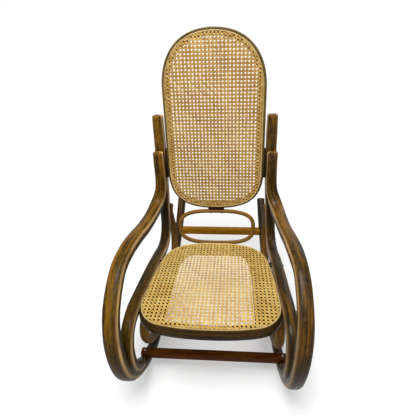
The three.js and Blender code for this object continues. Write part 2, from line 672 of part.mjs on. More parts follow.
const topPadU = BRACE_TOP_U - BRACE_THICK / 2;
const footPadF = BRACE_FOOT_F - BRACE_THICK / 2;
const braceScrews = [
  screw('left_brace_top_screw', WOOD_SCREW,
    [-22, BRACE_TOP_F, topPadU], [-22, BRACE_TOP_F, BACK_FOOT_U + 16]),
  screw('right_brace_top_screw', WOOD_SCREW,
    [22, BRACE_TOP_F, topPadU], [22, BRACE_TOP_F, BACK_FOOT_U + 16]),
  screw('left_brace_foot_screw', WOOD_SCREW,
    [-22, footPadF, BRACE_FOOT_U], [-22, 16, BRACE_FOOT_U]),
  screw('right_brace_foot_screw', WOOD_SCREW,
    [22, footPadF, BRACE_FOOT_U], [22, 16, BRACE_FOOT_U]),
];

// Assembly
const root = new THREE.Group();
const chair = new THREE.Group();
chair.rotation.x = -SEAT_LEAN;
root.add(chair);

function add(name, geometry, material) {
  const mesh = new THREE.Mesh(geometry, material);
  mesh.name = name;
  chair.add(mesh);
}

const addSolid = (name, solid, material) => add(name, toGeometry(solid), material);

// Right is +x, and each left piece is its mirror image.
const mirrorImage = (solid) => solidFrom(toGeometry(solid).scale(-1, 1, 1));
const bothSides = (solid) => [solid, mirrorImage(solid)];

function addPair(name, solid, material) {
  addSolid(`right_${name}`, solid, material);
  addSolid(`left_${name}`, mirrorImage(solid), material);
}

const drill = Object.fromEntries(sideScrews.map((s) => [s.name, drillFor(s)]));
const braceDrills = braceScrews.map((s) => drillFor(s));

const armSpace = rod(armPath, 10, { swell: GAP });
const uprightSpace = rod(uprightPath, 10, { swell: GAP });
const bracePath = braceStations();
const braceSpace = rod(bracePath, 8, { closed: true, swell: GAP });

const stretcherHalf = RUNNER_FRONT_X + STRETCHER_OVERHANG;
const stretcherCentre = at(0, STRETCHER_F, STRETCHER_U);
const stretcherSpace = box(
  stretcherHalf * 2 + GAP * 2,
  STRETCHER_WIDTH + GAP * 2,
  STRETCHER_HEIGHT + GAP * 2,
  stretcherCentre,
);

addPair('arm_rocker', cutAll(rod(armPath, 10), [
  stretcherSpace, drill.arm_upper_bolt, drill.arm_lower_bolt, drill.curl_screw,
  drill.scroll_middle_screw, drill.stretcher_screw, drill.rear_bar_bolt,
]), walnut);

addPair('back_upright', cutAll(rod(uprightPath, 10), [
  armSpace, drill.seat_front_bolt, drill.seat_rear_bolt, drill.arm_upper_bolt,
  drill.arm_lower_bolt, drill.back_upper_bolt, drill.back_lower_bolt, drill.curl_screw,
  drill.scroll_rear_screw,
]), walnut);

addPair('scroll', cutAll(rod(scrollStations(), 10), [
  armSpace, uprightSpace, drill.scroll_front_screw, drill.scroll_middle_screw,
  drill.scroll_rear_screw,
]), walnut);

// Seat: rim, woven panel and the spline that holds the panel's edge
const SEAT_BULGE = 4;
const seatLoop = seatOutline(24);
const seatDrills = [
  ...bothSides(drill.seat_front_bolt),
  ...bothSides(drill.seat_rear_bolt),
  ...bothSides(drill.scroll_front_screw),
  ...braceDrills.slice(2),
];
const seatSection = rimSection(SEAT_RIM_WIDTH, SEAT_RIM_HEIGHT, SEAT_BULGE, SEAT_GROOVE_INSET);
const seatRim = ring(seatLoop, seatSection, liftSeat);
addSolid('seat_frame', cutAll(seatRim, [...bothSides(uprightSpace), ...seatDrills]), walnut);
addSolid('seat_spline', ring(seatLoop, splineSection(SEAT_GROOVE_INSET), liftSeat), caneSpline);
const seatNet = { pitchX: 42, pitchY: 43, bar: 15, margin: 4, start: 36 };
addSolid('seat_cane', net(inset(seatLoop, caneEdge(SEAT_GROOVE_INSET)), seatNet,
  (p, height) => liftSeat(p, height + GAP)), cane);

// A flat rail that follows the rim inside and stiffens the cane's edge. It is
// open towards the front, where the cane runs on to the rim.
function seatOpening(steps) {
  const half = SEAT_OPENING_HALF;
  const rear = SEAT_OPENING_REAR;
  return closeByMirror(halfOutline([
    new THREE.LineCurve(new THREE.Vector2(0, rear), new THREE.Vector2(half - 48, rear)),
    bezier(half - 48, rear, half - 14, rear + 4, half - 4, rear + 60, half, rear + 130),
    new THREE.LineCurve(new THREE.Vector2(half, rear + 130), new THREE.Vector2(half, SEAT_DEPTH)),
    new THREE.LineCurve(new THREE.Vector2(half, SEAT_DEPTH), new THREE.Vector2(0, SEAT_DEPTH)),
  ], steps));
}
const railPlate = plate(inset(seatLoop, SEAT_RIM_WIDTH + GAP), INNER_RAIL_THICK);
const innerRail = railPlate.subtract(plate(seatOpening(24), INNER_RAIL_THICK * 3, -INNER_RAIL_THICK));
addSolid('seat_inner_rail', placed(innerRail,
  (p, height) => liftSeat(p, height + INNER_RAIL_TOP - INNER_RAIL_THICK)), walnut);

// Back: the same three pieces
const BACK_BULGE = 2;
const backLoop = backOutline(24);
const backSection = rimSection(BACK_RIM_WIDTH, BACK_RIM_DEPTH, BACK_BULGE, BACK_GROOVE_INSET);
const backRim = ring(backLoop, backSection, liftBack);
addSolid('back_frame', cutAll(backRim, [
  ...bothSides(drill.back_upper_bolt), ...bothSides(drill.back_lower_bolt),
  ...braceDrills.slice(0, 2),
]), walnut);
addSolid('back_spline', ring(backLoop, splineSection(BACK_GROOVE_INSET), liftBack), caneSpline);
const backNet = { pitchX: 42, pitchY: 43, bar: 15, margin: 4, start: 47 };
addSolid('back_cane', net(inset(backLoop, caneEdge(BACK_GROOVE_INSET)), backNet,
  (p, height) => liftBack(p, height + GAP)), cane);

// Solids that fill a rim's outline, to face the blocks that bear on it
const filled = (loop, bulge, lift) => placed(plate(inset(loop, -bulge - GAP), 90, -60), lift);
const seatFilled = filled(seatLoop, SEAT_BULGE, liftSeat);
const backFilled = filled(backLoop, BACK_BULGE, liftBack);

// Blocks and sleeves between the bent rods and the rims
const backSpacer = box(16, 17, SPACER_HEIGHT, at(BACK_ROD_X - 21, BACK_ROD_F + 3, SPACER_MIDDLE_U));
addPair('back_spacer', cutAll(backSpacer, [
  uprightSpace, backFilled, armSpace, drill.back_upper_bolt, drill.back_lower_bolt,
]), darkWood);

const sleeve = solidFrom(aim(
  new THREE.CylinderGeometry(11, 11, 60, 16).translate(0, -30, 0),
  at(railRear.x - 3, SLEEVE_F, -31),
  at(railRear.x - 63, SLEEVE_F, -25),
));
addPair('seat_sleeve', cutAll(sleeve, [uprightSpace, seatFilled, drill.seat_rear_bolt]), darkWood);

const rearBlock = box(26, 26, 28, at(rearBarSeat.x + 22, REAR_BAR_F, rearBarSeat.z + 6));
addPair('rear_block', cutAll(rearBlock, [armSpace, drill.rear_bar_bolt]), amberWood);

// Bars across the chair
const frontStretcher = easedBar(stretcherHalf, STRETCHER_WIDTH, STRETCHER_HEIGHT, 2.5, stretcherCentre);
addSolid('front_stretcher', cutAll(frontStretcher, bothSides(drill.stretcher_screw)), redWalnut);

const rearBarCentre = at(0, REAR_BAR_F, rearBarSeat.z);
const rearBar = easedBar(rearBarSeat.x - 4, REAR_BAR_WIDTH, REAR_BAR_HEIGHT, 4, rearBarCentre);
addSolid('rear_bar', cutAll(rearBar, [
  ...bothSides(armSpace), ...bothSides(drill.rear_bar_bolt),
]), amberWood);

addSolid('brace_ring', cutAll(rod(bracePath, 8, { closed: true }), braceDrills), walnut);
const topPad = box(66, 10, 16, at(0, BRACE_TOP_F, BACK_FOOT_U - 6));
addSolid('brace_top_pad', cutAll(topPad, [backFilled, braceSpace, ...braceDrills]), darkWood);
const footPad = box(66, 16, 10, at(0, BRACE_FOOT_F + 8, BRACE_FOOT_U));
addSolid('brace_foot_pad', cutAll(footPad, [seatFilled, braceSpace, ...braceDrills]), darkWood);

// Screws and bolts
const mirroredScrew = ({ size, from, to }) => {
  const [left, end] = mirrored([from, to]);
  return { size, from: left, to: end };
};
sideScrews.forEach((s) => {
  add(`right_${s.name}`, screwGeometry(s), steel);
  add(`left_${s.name}`, screwGeometry(mirroredScrew(s)), steel);
});
braceScrews.forEach((s) => add(s.name, screwGeometry(s), steel));

// Stand the chair on the floor, centred in length over the origin
root.updateMatrixWorld(true);
const bounds = new THREE.Box3().setFromObject(root, true);
chair.position.set(0, -(bounds.min.y + bounds.max.y) / 2, -bounds.min.z);

export default root;
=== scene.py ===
# Bentwood rocking chair with a cane seat and a cane back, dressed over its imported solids.
from math import asin, cos, pi, radians, sin, sqrt

import bmesh
import bpy
import numpy as np
from mathutils import Matrix, Vector


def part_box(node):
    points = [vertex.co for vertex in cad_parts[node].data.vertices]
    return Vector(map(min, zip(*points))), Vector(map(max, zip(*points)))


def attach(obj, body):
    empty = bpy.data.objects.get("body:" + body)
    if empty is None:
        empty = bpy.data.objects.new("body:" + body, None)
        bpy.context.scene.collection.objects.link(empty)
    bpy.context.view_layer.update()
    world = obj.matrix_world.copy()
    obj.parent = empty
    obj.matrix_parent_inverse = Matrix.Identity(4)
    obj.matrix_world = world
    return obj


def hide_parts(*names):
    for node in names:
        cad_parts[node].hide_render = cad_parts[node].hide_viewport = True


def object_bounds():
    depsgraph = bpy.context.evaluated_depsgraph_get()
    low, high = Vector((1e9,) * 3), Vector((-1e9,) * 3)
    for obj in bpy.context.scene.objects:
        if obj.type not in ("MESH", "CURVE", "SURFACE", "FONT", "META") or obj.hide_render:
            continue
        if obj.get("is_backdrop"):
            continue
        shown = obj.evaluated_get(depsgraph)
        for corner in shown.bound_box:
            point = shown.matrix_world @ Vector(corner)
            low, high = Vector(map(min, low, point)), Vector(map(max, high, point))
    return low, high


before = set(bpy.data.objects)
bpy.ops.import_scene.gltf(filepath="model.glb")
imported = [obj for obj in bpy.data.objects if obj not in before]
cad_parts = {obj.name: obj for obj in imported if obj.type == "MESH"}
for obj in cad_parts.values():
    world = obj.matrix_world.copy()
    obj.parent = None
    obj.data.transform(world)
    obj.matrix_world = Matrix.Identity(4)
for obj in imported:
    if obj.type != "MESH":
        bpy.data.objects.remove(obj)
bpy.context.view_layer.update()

MM = 0.001

# Sizes of the chair in millimetres, in the frame of the seat: x across, f forward
# along the seat from its rear edge, u up, square to the cane
SEAT_LEAN = radians(11)
SEAT_REAR_HALF, SEAT_FRONT_HALF, SEAT_DEPTH = 201, 218.5, 432
SEAT_RIM_WIDTH, SEAT_RIM_HEIGHT, SEAT_RIM_TOP = 21, 38, -1.9
INNER_RAIL_THICK, INNER_RAIL_TOP, SEAT_OPENING_HALF, SEAT_OPENING_REAR = 15, -1, 134, 66
BACK_HALF, BACK_HEIGHT, BACK_FOOT_U, BACK_FACE_F = 181, 654, 147, -18
BACK_RIM_WIDTH, BACK_RIM_DEPTH = 24, 21
SEAT_GROOVE, BACK_GROOVE = 2.6, 7.2  # from the rim's outer edge to its groove
GROOVE_WIDTH, GROOVE_DEPTH = 5, 3.5
ROCKER_RADIUS, ROCKER_HUB_F, RUNNER_FOOT_U = 830, 203, -313
ROCKER_HUB_U = RUNNER_FOOT_U + ROCKER_RADIUS
ROCKER_FACET = radians(3.45)
RUNNER_THICK, RUNNER_TAIL_THICK, RUNNER_FRONT_X, RUNNER_TAIL_X = 33, 40, 237, 214
RUNNER_TAPER_F, RUNNER_TAPER_LENGTH = 310, 740  # where the runners draw together
REAR_BAR_F, REAR_BAR_WIDTH, REAR_BAR_HEIGHT = -311, 36, 31
STRETCHER_HALF, STRETCHER_WIDTH, STRETCHER_HEIGHT = 252, 26, 24

# Woven cane: its holes are one pitch apart
CANE_PITCH = 12.7 * MM
CANE_LIFT = 1.5  # the weave's middle above the top of its rim
STRAND_THICK, STRAND_PAIR_HALF_GAP = 0.8 * MM, 1.8 * MM
CANE_HELD_WIDTH, CANE_HELD_DROP = 7 * MM, 1.3 * MM  # where its edge is pressed down

across = Vector((1, 0, 0))
forward = Vector((0, -cos(SEAT_LEAN), sin(SEAT_LEAN)))
upward = Vector((0, sin(SEAT_LEAN), cos(SEAT_LEAN)))


def rocker_point(turn, lift=0):
    """Centre of the runner, from its lowest place: +turn runs back to the tail."""
    angle = SEAT_LEAN + turn
    f = ROCKER_HUB_F - (ROCKER_RADIUS - lift) * sin(angle)
    u = ROCKER_HUB_U - (ROCKER_RADIUS - lift) * cos(angle)
    share = min(max((RUNNER_TAPER_F - f) / RUNNER_TAPER_LENGTH, 0), 1)
    return RUNNER_FRONT_X + (RUNNER_TAIL_X - RUNNER_FRONT_X) * share, f, u


# The rear bar's solid says where the seat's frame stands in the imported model
bar_low, bar_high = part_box("rear_bar")
bar_turn = asin((ROCKER_HUB_F - REAR_BAR_F) / ROCKER_RADIUS) - SEAT_LEAN
bar_x, _, bar_u = rocker_point(bar_turn)
seat_origin = (bar_low + bar_high) / 2 - (forward * REAR_BAR_F + upward * bar_u) * MM
seat_origin.x = 0


def at(x, f, u):
    """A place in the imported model, in metres, from millimetres in the seat's frame."""
    return seat_origin + (across * x + forward * f + upward * u) * MM


# ---- Node helpers
def add_node(tree, kind, inputs=None, **settings):
    """A node with its settings and inputs: a socket is linked, anything else is set."""
    node = tree.nodes.new(kind)
    for key, value in settings.items():
        setattr(node, key, value)
    for key, value in (inputs or {}).items():
        if isinstance(value, bpy.types.NodeSocket):
            tree.links.new(value, node.inputs[key])
        else:
            node.inputs[key].default_value = value
    return node


def wire(tree, kind, inputs=None, output=0, **settings):
    """Adds a node and returns one of its outputs."""
    return add_node(tree, kind, inputs, **settings).outputs[output]


def calc(tree, operation, *values, clamp=False):
    inputs = dict(enumerate(values))
    return wire(tree, "ShaderNodeMath", inputs, operation=operation, use_clamp=clamp)


def vector(tree, operation, *values):
    output = "Value" if operation in ("DOT_PRODUCT", "LENGTH") else "Vector"
    return wire(tree, "ShaderNodeVectorMath", dict(enumerate(values)), output, operation=operation)


def combine(tree, x=0.0, y=0.0, z=0.0):
    return wire(tree, "ShaderNodeCombineXYZ", {0: x, 1: y, 2: z})


def weighted_sum(tree, *pairs):
    """The sum of values, each times its weight."""
    total = 0.0
    for value, weight in reversed(pairs):
        total = calc(tree, "MULTIPLY_ADD", value, weight, total)
    return total


def map_range(tree, value, source, target, **settings):
    """Moves a value from one range to another, held at its ends."""
    return wire(tree, "ShaderNodeMapRange", {
        "Value": value, "From Min": source[0], "From Max": source[1],
        "To Min": target[0], "To Max": target[1],
    }, **settings)


def noise(tree, place, scale, detail, roughness, distortion=0.0):
    return wire(tree, "ShaderNodeTexNoise", {
        "Vector": place, "Scale": scale, "Detail": detail, "Roughness": roughness,
        "Distortion": distortion,
    })


def grain_noise(tree, grain, stretch, scale, detail, roughness, distortion=0.0):
    """Noise drawn out along the grain; `stretch` is how much its length counts."""
    drawn = vector(tree, "MULTIPLY", grain, (1, 1, stretch))
    return noise(tree, drawn, scale, detail, roughness, distortion)


def ramp(tree, factor, stops):
    node = add_node(tree, "ShaderNodeValToRGB", {"Fac": factor})
    scale = node.color_ramp
    while len(scale.elements) < len(stops):
        scale.elements.new(0.5)
    for element, (place, color) in zip(scale.elements, stops):
        element.position = place
        element.color = (*color, 1)
    return node.outputs["Color"]


def tinted(tree, factor, color, tint):
    """A colour moved towards a tint."""
    inputs = {0: factor, 6: color, 7: (*tint, 1)}  # its colour sockets share names
    return wire(tree, "ShaderNodeMix", inputs, 2, data_type="RGBA")


def screen_colors(codes):
    """Screen colours such as 5a3d1c, as the linear light that a shader takes."""
    colors = []
    for code in codes.split():
        parts = [int(code[i:i + 2], 16) / 255 for i in (0, 2, 4)]
        colors.append(tuple(p / 12.92 if p <= 0.04045 else ((p + 0.055) / 1.055) ** 2.4
                            for p in parts))
    return colors


def new_material(name):
    material = bpy.data.materials.new(name)
    material.use_nodes = True
    tree = material.node_tree
    return material, tree, tree.nodes["Principled BSDF"]


def dress(tree, shader, color, roughness, relief, strength, depth):
    """Gives a shader its colour, its gloss and a relief of a depth in metres."""
    bump = wire(tree, "ShaderNodeBump", {"Strength": strength, "Distance": depth, "Height": relief})
    for label, socket in (("Base Color", color), ("Roughness", roughness), ("Normal", bump)):
        tree.links.new(socket, shader.inputs[label])


# ---- Finishes
def wood_finish(name, colors, wear_and_highlight, roughness, coat):
    """Stained wood whose grain runs along each piece: streaks, fine open pores, gold worn through
    on the sides that look up towards the lamps, partly painted light, a darker stain with painted
    shade on the sides that look down and towards the floor, and old varnish."""
    dark, middle, light, worn_and_lit_gold, bare_and_highlight = screen_colors(colors)
    material, tree, shader = new_material(name)
    grain = wire(tree, "ShaderNodeAttribute", output="Vector", attribute_name="grain")
    place = wire(tree, "ShaderNodeTexCoord", output="Object")
    facing = wire(tree, "ShaderNodeNewGeometry", output="Normal")
    streaks = grain_noise(tree, grain, 0.05, scale=150, detail=5, roughness=0.62, distortion=0.4)
    bands = grain_noise(tree, grain, 0.14, scale=48, detail=3, roughness=0.5, distortion=0.8)
    patches = grain_noise(tree, grain, 0.1, scale=62, detail=4, roughness=0.62, distortion=0.5)
    stain = grain_noise(tree, grain, 0.09, scale=48, detail=4, roughness=0.62, distortion=0.7)
    pores = grain_noise(tree, grain, 0.018, scale=1100, detail=1.5, roughness=0.5)
    mottle = noise(tree, place, scale=85, detail=4, roughness=0.65)
    tone = weighted_sum(tree, (streaks, 0.44), (bands, 0.28), (mottle, 0.28))
    color = ramp(tree, tone, ((0.4, dark), (0.5, middle), (0.6, light)))

    # Gold, worn through in patches, strongest where the surface looks up and forward towards the
    # lamps: partly wear, partly painted light
    facing_the_lamps = vector(tree, "DOT_PRODUCT", facing, (0.0, -0.35, 0.94))
    facing_the_lamps = map_range(tree, facing_the_lamps, (-0.3, 0.85), (0, 1))
    rubbed = map_range(tree, patches, (0.47, 0.63), (0, wear_and_highlight))
    color = tinted(tree, calc(tree, "MULTIPLY", rubbed, facing_the_lamps), color, worn_and_lit_gold)

    # A smoky stain in patches, with painted shade: more of it towards the floor and on the sides
    # that look down, less of it up high
    height = vector(tree, "DOT_PRODUCT", place, (0.0, 0.0, 1.0))
    low_down = map_range(tree, height, (0.12, 0.8), (0.42, -0.22))
    stain_and_shade = calc(tree, "ADD", stain, low_down)
    stain_and_shade = calc(tree, "MULTIPLY_ADD", facing_the_lamps, -0.28, stain_and_shade)
    stain_and_shade = map_range(tree, stain_and_shade, (0.16, 0.5), (0, 0.68))
    color = tinted(tree, stain_and_shade, color, tuple(0.8 * c for c in dark))

    # Bare wood along a rod's worn edge, broken where the bands are dark; the line is partly a
    # painted highlight
    edge = wire(tree, "ShaderNodeAttribute", output="Fac", attribute_name="wear_and_highlight")
    edge = calc(tree, "MULTIPLY", edge, calc(tree, "MULTIPLY_ADD", bands, 2.2, -0.2))
    color = tinted(tree, calc(tree, "MULTIPLY", edge, 0.9, clamp=True), color, bare_and_highlight)

    pits = map_range(tree, pores, (0.58, 0.7), (0, 0.55))
    color = tinted(tree, pits, color, tuple(0.35 * c for c in dark))
    gloss = calc(tree, "ADD", mottle, streaks)
    gloss = map_range(tree, gloss, (0.7, 1.3), (roughness - 0.07, roughness + 0.13))
    relief = weighted_sum(tree, (streaks, 0.6), (mottle, 0.5), (pits, -1.0))
    dress(tree, shader, color, gloss, relief, strength=0.35, depth=0.0006)
    shader.inputs["Coat Weight"].default_value = coat
    shader.inputs["Coat Roughness"].default_value = 0.22
    shader.inputs["Specular IOR Level"].default_value = 0.06 + 0.4 * coat
    return material


def cane_finish(name, colors, roughness):
    """Split cane: glossy skin, fibres along the strand, a tone of its own for each strand and
    a few browner lengths where the cane's joints were."""
    pale, middle, deep, joint = screen_colors(colors)
    material, tree, shader = new_material(name)
    grain = wire(tree, "ShaderNodeAttribute", output="Vector", attribute_name="grain")
    place = wire(tree, "ShaderNodeTexCoord", output="Object")
    one_strand = vector(tree, "MULTIPLY", grain, (1, 0, 0.01))
    strand = noise(tree, one_strand, scale=240, detail=1, roughness=0.5)
    lengths = grain_noise(tree, grain, 0.22, scale=95, detail=2, roughness=0.5)
    fibre = grain_noise(tree, grain, 0.03, scale=900, detail=3, roughness=0.6)
    cloud = noise(tree, place, scale=11, detail=3, roughness=0.55)
    tone = weighted_sum(tree, (strand, 0.45), (lengths, 0.3), (cloud, 0.15), (fibre, 0.1))
    color = ramp(tree, tone, ((0.38, deep), (0.5, middle), (0.62, pale)))
    color = tinted(tree, map_range(tree, lengths, (0.62, 0.72), (0, 0.7)), color, joint)
    gloss = map_range(tree, fibre, (0.3, 0.7), (roughness - 0.06, roughness + 0.12))
    dress(tree, shader, color, gloss, fibre, strength=0.25, depth=0.0002)
    shader.inputs["Specular IOR Level"].default_value = 0.3
    return material


def steel_finish(name, colors):
    """Old steel: fine marks, brown tarnish in blots and uneven gloss."""
    bright, tarnish = screen_colors(colors)
    material, tree, shader = new_material(name)
    place = wire(tree, "ShaderNodeTexCoord", output="Object")
    blots = noise(tree, place, scale=420, detail=4, roughness=0.6)
    marks = noise(tree, place, scale=2600, detail=2, roughness=0.5)
    color = ramp(tree, blots, ((0.4, bright), (0.62, tarnish)))
    gloss = map_range(tree, blots, (0.35, 0.65), (0.28, 0.6))
    dress(tree, shader, color, gloss, marks, strength=0.2, depth=0.0001)
    shader.inputs["Metallic"].default_value = 0.9
    return material


# Woods: dark, middle and light stain, worn gold, bare wood, the last two partly painted light; wear
# with painted light, roughness and coat
walnut = wood_finish("walnut rod", "171004 4a370e 7c5a15 9c6812 ffd08c", 0.8, 0.4, 0.03)
deep_walnut = wood_finish("deep walnut rod", "110c04 3e2c0d 6a4c16 8c5e14 e8b878", 0.7, 0.36, 0.06)
tan_walnut = wood_finish("tan walnut", "6a4a1c 8c6228 aa7c38 ac8034 c8a060", 0.5, 0.42, 0.0)
olive_walnut = wood_finish("olive walnut", "221808 54421e 786034 846a38 b09868", 0.6, 0.4, 0.03)
rim_walnut = wood_finish("walnut rim", "150c02 362407 5a4010 6e4a10 9a7a3c", 0.6, 0.4, 0.04)
red_walnut = wood_finish("red walnut", "3c1a02 783e04 9c5a0e aa6c1a b47c34", 0.5, 0.45, 0.0)
amber_wood = wood_finish("amber wood", "cc8616 eca422 f8ba34 f2b43c f4c46c", 0.5, 0.45, 0.0)
# Near black: painted shade on the inner rail under the cane, darker than the walnut
walnut_in_painted_shade = wood_finish("walnut in painted shade under the cane", "080402 120a04 1c1107 24170a 3c2814",
                          0.3, 0.6, 0.0)
dark_wood = wood_finish("dark wood", "0e0803 1e1208 33210f 402c14 5a4020", 0.3, 0.5, 0.1)
# Canes: pale, middle and deep strands, joints; roughness
back_straight_cane = cane_finish("amber cane", "c6a260 9c7436 784c20 845226", 0.42)
back_slant_cane = cane_finish("golden cane", "dcc080 bc9a50 946a32 94622e", 0.38)
seat_straight_cane = cane_finish("ripe straw cane", "e0c074 c09844 966426 96622c", 0.42)
seat_slant_cane = cane_finish("straw cane", "f8e29a e2c26a ba8a3c b07c3c", 0.36)
spline_cane = cane_finish("straw spline", "cdb67e b49a60 8e7440 7c6030", 0.45)
steel = steel_finish("tarnished steel", "8c8a86 4a3a2a")


# ---- Mesh helpers
def finished(obj, node):
    """Rides a piece on the chair and hides the solid whose place it takes."""
    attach(obj, "root")
    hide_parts(node)


def placed(name, data):
    """A new object in the scene."""
    obj = bpy.data.objects.new(name, data)
    bpy.context.scene.collection.objects.link(obj)
    return obj


def piece(name, points, faces, grain, material, sharp=40, wear_and_highlight=None):
    """A mesh piece with its faces turned outwards. Its points keep the direction of the grain and,
    on a rod, how far its edge is worn and painted with a highlight there."""
    mesh = bpy.data.meshes.new(name)
    mesh.from_pydata([tuple(p) for p in points], [], faces)
    store = mesh.attributes.new("grain", "FLOAT_VECTOR", "POINT")
    store.data.foreach_set("vector", np.array(grain, np.float32).ravel())
    if wear_and_highlight is not None:
        store = mesh.attributes.new("wear_and_highlight", "FLOAT", "POINT")
        store.data.foreach_set("value", np.array(wear_and_highlight, np.float32))
    work = bmesh.new()
    work.from_mesh(mesh)
    bmesh.ops.recalc_face_normals(work, faces=work.faces)
    work.to_mesh(mesh)
    work.free()
    mesh.shade_smooth()
    mesh.set_sharp_from_angle(angle=radians(sharp))
    mesh.materials.append(material)
    return placed(name, mesh)


def tube_faces(rings, sides, closed=False, capped=False):
    """Faces between neighbouring rings of points. A closed tube's last ring meets its first;
    a capped one has a flat face on each of its ends."""
    faces = []
    for i in range(rings if closed else rings - 1):
        j = (i + 1) % rings
        for k in range(sides):
            m = (k + 1) % sides
            faces.append((i * sides + k, i * sides + m, j * sides + m, j * sides + k))
    if capped:
        last = (rings - 1) * sides
        faces += [tuple(range(sides)), tuple(range(last, last + sides))]
    return faces


def circle(sides):
    """Cosine and sine of even turns round a circle."""
    angles = [2 * pi * k / sides for k in range(sides)]
    return [(cos(angle), sin(angle)) for angle in angles]


def section_axes(before, after, guide):
    """Two directions square to a path, the first as near as can be to the guide."""
    along = (after - before).normalized()
    wide = (guide - along * guide.dot(along)).normalized()
    return wide, along.cross(wide)


def path_lengths(path):
    """How far along a path each of its points lies."""
    return np.concatenate([[0], np.cumsum(np.linalg.norm(np.diff(path, axis=0), axis=1))])


# ---- Bent rods
ROD_STEP, CAP_RINGS, SPLINE_STEPS = 7, 7, 16
WORN_LIT_EDGE_TURN, WORN_LIT_EDGE_NARROWNESS = radians(26), 60  # the edge that faces the sitter is worn and painted light as a highlight
WORN_LIT_EDGE_FLOOR_U, WORN_LIT_EDGE_FADE_HEIGHT, WORN_LIT_EDGE_LEAST = -330, 300, 0.3
SOLE_REACH = (ROCKER_RADIUS * cos(ROCKER_FACET / 2)
              + RUNNER_THICK / 2 * cos(radians(18))) * MM
TAIL_GROWTH_START, TAIL_GROWTH_FACETS = 1.5, 10


def smooth_path(marks):
    """A centripetal spline through marks of (x, f, u, thickness)."""
    marks = np.asarray(marks, float)
    ends = np.vstack([2 * marks[0] - marks[1], marks, 2 * marks[-1] - marks[-2]])
    out = []
    for a, b, c, d in zip(ends, ends[1:], ends[2:], ends[3:]):
        g0, g1, g2 = (max(np.linalg.norm((q - p)[:3]) ** 0.5, 1e-4)
                      for p, q in ((a, b), (b, c), (c, d)))
        leave = ((b - a) / g0 - (c - a) / (g0 + g1) + (c - b) / g1) * g1
        arrive = ((c - b) / g1 - (d - b) / (g1 + g2) + (d - c) / g2) * g1
        for t in np.linspace(0, 1, SPLINE_STEPS, endpoint=False):
            out.append(b + leave * t + (3 * (c - b) - 2 * leave - arrive) * t * t
                       + (2 * (b - c) + leave + arrive) * t ** 3)
    out.append(marks[-1])
    return np.array(out)


def even_steps(path, cap):
    """The path at even steps, closer on its last `cap` millimetres at both ends, with the share
    of the thickness that a rounded end keeps at each step."""
    lengths = path_lengths(path[:, :3])
    total = lengths[-1]
    close = cap * (1 - np.cos(np.linspace(0, pi / 2, CAP_RINGS)))
    middle = np.linspace(cap, total - cap, max(int((total - 2 * cap) / ROD_STEP), 2))[1:-1]
    places = np.concatenate([close, middle, total - close[::-1]])
    stations = np.column_stack([np.interp(places, lengths, values) for values in path.T])
    inset = np.minimum(places, total - places)
    rounded = np.sqrt(np.clip(1 - ((cap - np.minimum(inset, cap)) / cap) ** 2, 0, 1))
    return stations, places, rounded


def rod(name, path, material, side, sides, cap, seed, square=2.0, sole=None):
    """A rod along a path of (x, f, u, thickness), with softly rounded ends. Its section is round,
    or flatter on four sides where `square` is above 2, and `sole` may plane its points."""
    stations, places, rounded = even_steps(path, cap)
    centres = [at(side * x, f, u) for x, f, u, _ in stations]
    last = len(stations) - 1
    points, grain, wear_and_highlight = [], [], []
    for i, (_, _, u, thick) in enumerate(stations):
        wide, out = section_axes(centres[max(i - 1, 0)], centres[min(i + 1, last)], across)
        # Bent and shaved by hand, a rod's thickness is out by about a hundredth
        by_hand = (1 + 0.008 * sin(places[i] / 41 + seed)
                   + 0.006 * sin(places[i] / 17 + 2 * seed))
        radius = max(thick / 2 * by_hand * rounded[i], 0.05) * MM
        # The worn edge's painted highlight fades towards the floor
        faded = min(max((u - WORN_LIT_EDGE_FLOOR_U) / WORN_LIT_EDGE_FADE_HEIGHT, WORN_LIT_EDGE_LEAST), 1)
        for c, s in circle(sides):
            facing_edge = sin(WORN_LIT_EDGE_TURN) * s - side * cos(WORN_LIT_EDGE_TURN) * c
            wear_and_highlight.append(max(0.0, facing_edge) ** WORN_LIT_EDGE_NARROWNESS * faded)
            spread = radius * (abs(c) ** square + abs(s) ** square) ** (-1 / square)
            c, s = c * spread, s * spread
            point = centres[i] + wide * c + out * s
            points.append(sole(point) if sole else point)
            grain.append((c + 0.3 * seed, s + 0.1 * side, places[i] * MM))
    faces = tube_faces(len(stations), sides)
    for first in (0, last * sides):
        tip = len(points)
        points.append(sum(points[first:first + sides], Vector()) / sides)
        grain.append(grain[first])
        wear_and_highlight.append(0.4)
        faces += [(first + k, first + (k + 1) % sides, tip) for k in range(sides)]
    return piece(name, points, faces, grain, material, sharp=60, wear_and_highlight=wear_and_highlight)


def on_the_sole(point):
    """The runners are planed to one arc underneath, where they meet the floor."""
    hub = at(0, ROCKER_HUB_F, ROCKER_HUB_U)
    away = Vector((0, point.y - hub.y, point.z - hub.z))
    if away.length > SOLE_REACH:
        away *= SOLE_REACH / away.length
    return Vector((point.x, hub.y + away.y, hub.z + away.z))


def runner_mark(facets):
    """The runner's centre and thickness: it gets stouter towards the tail and keeps its arc."""
    growth = max(0, (facets - TAIL_GROWTH_START) / TAIL_GROWTH_FACETS)
    gain = (RUNNER_TAIL_THICK - RUNNER_THICK) * growth
    return (*rocker_point(facets * ROCKER_FACET, gain / 2), RUNNER_THICK + gain)


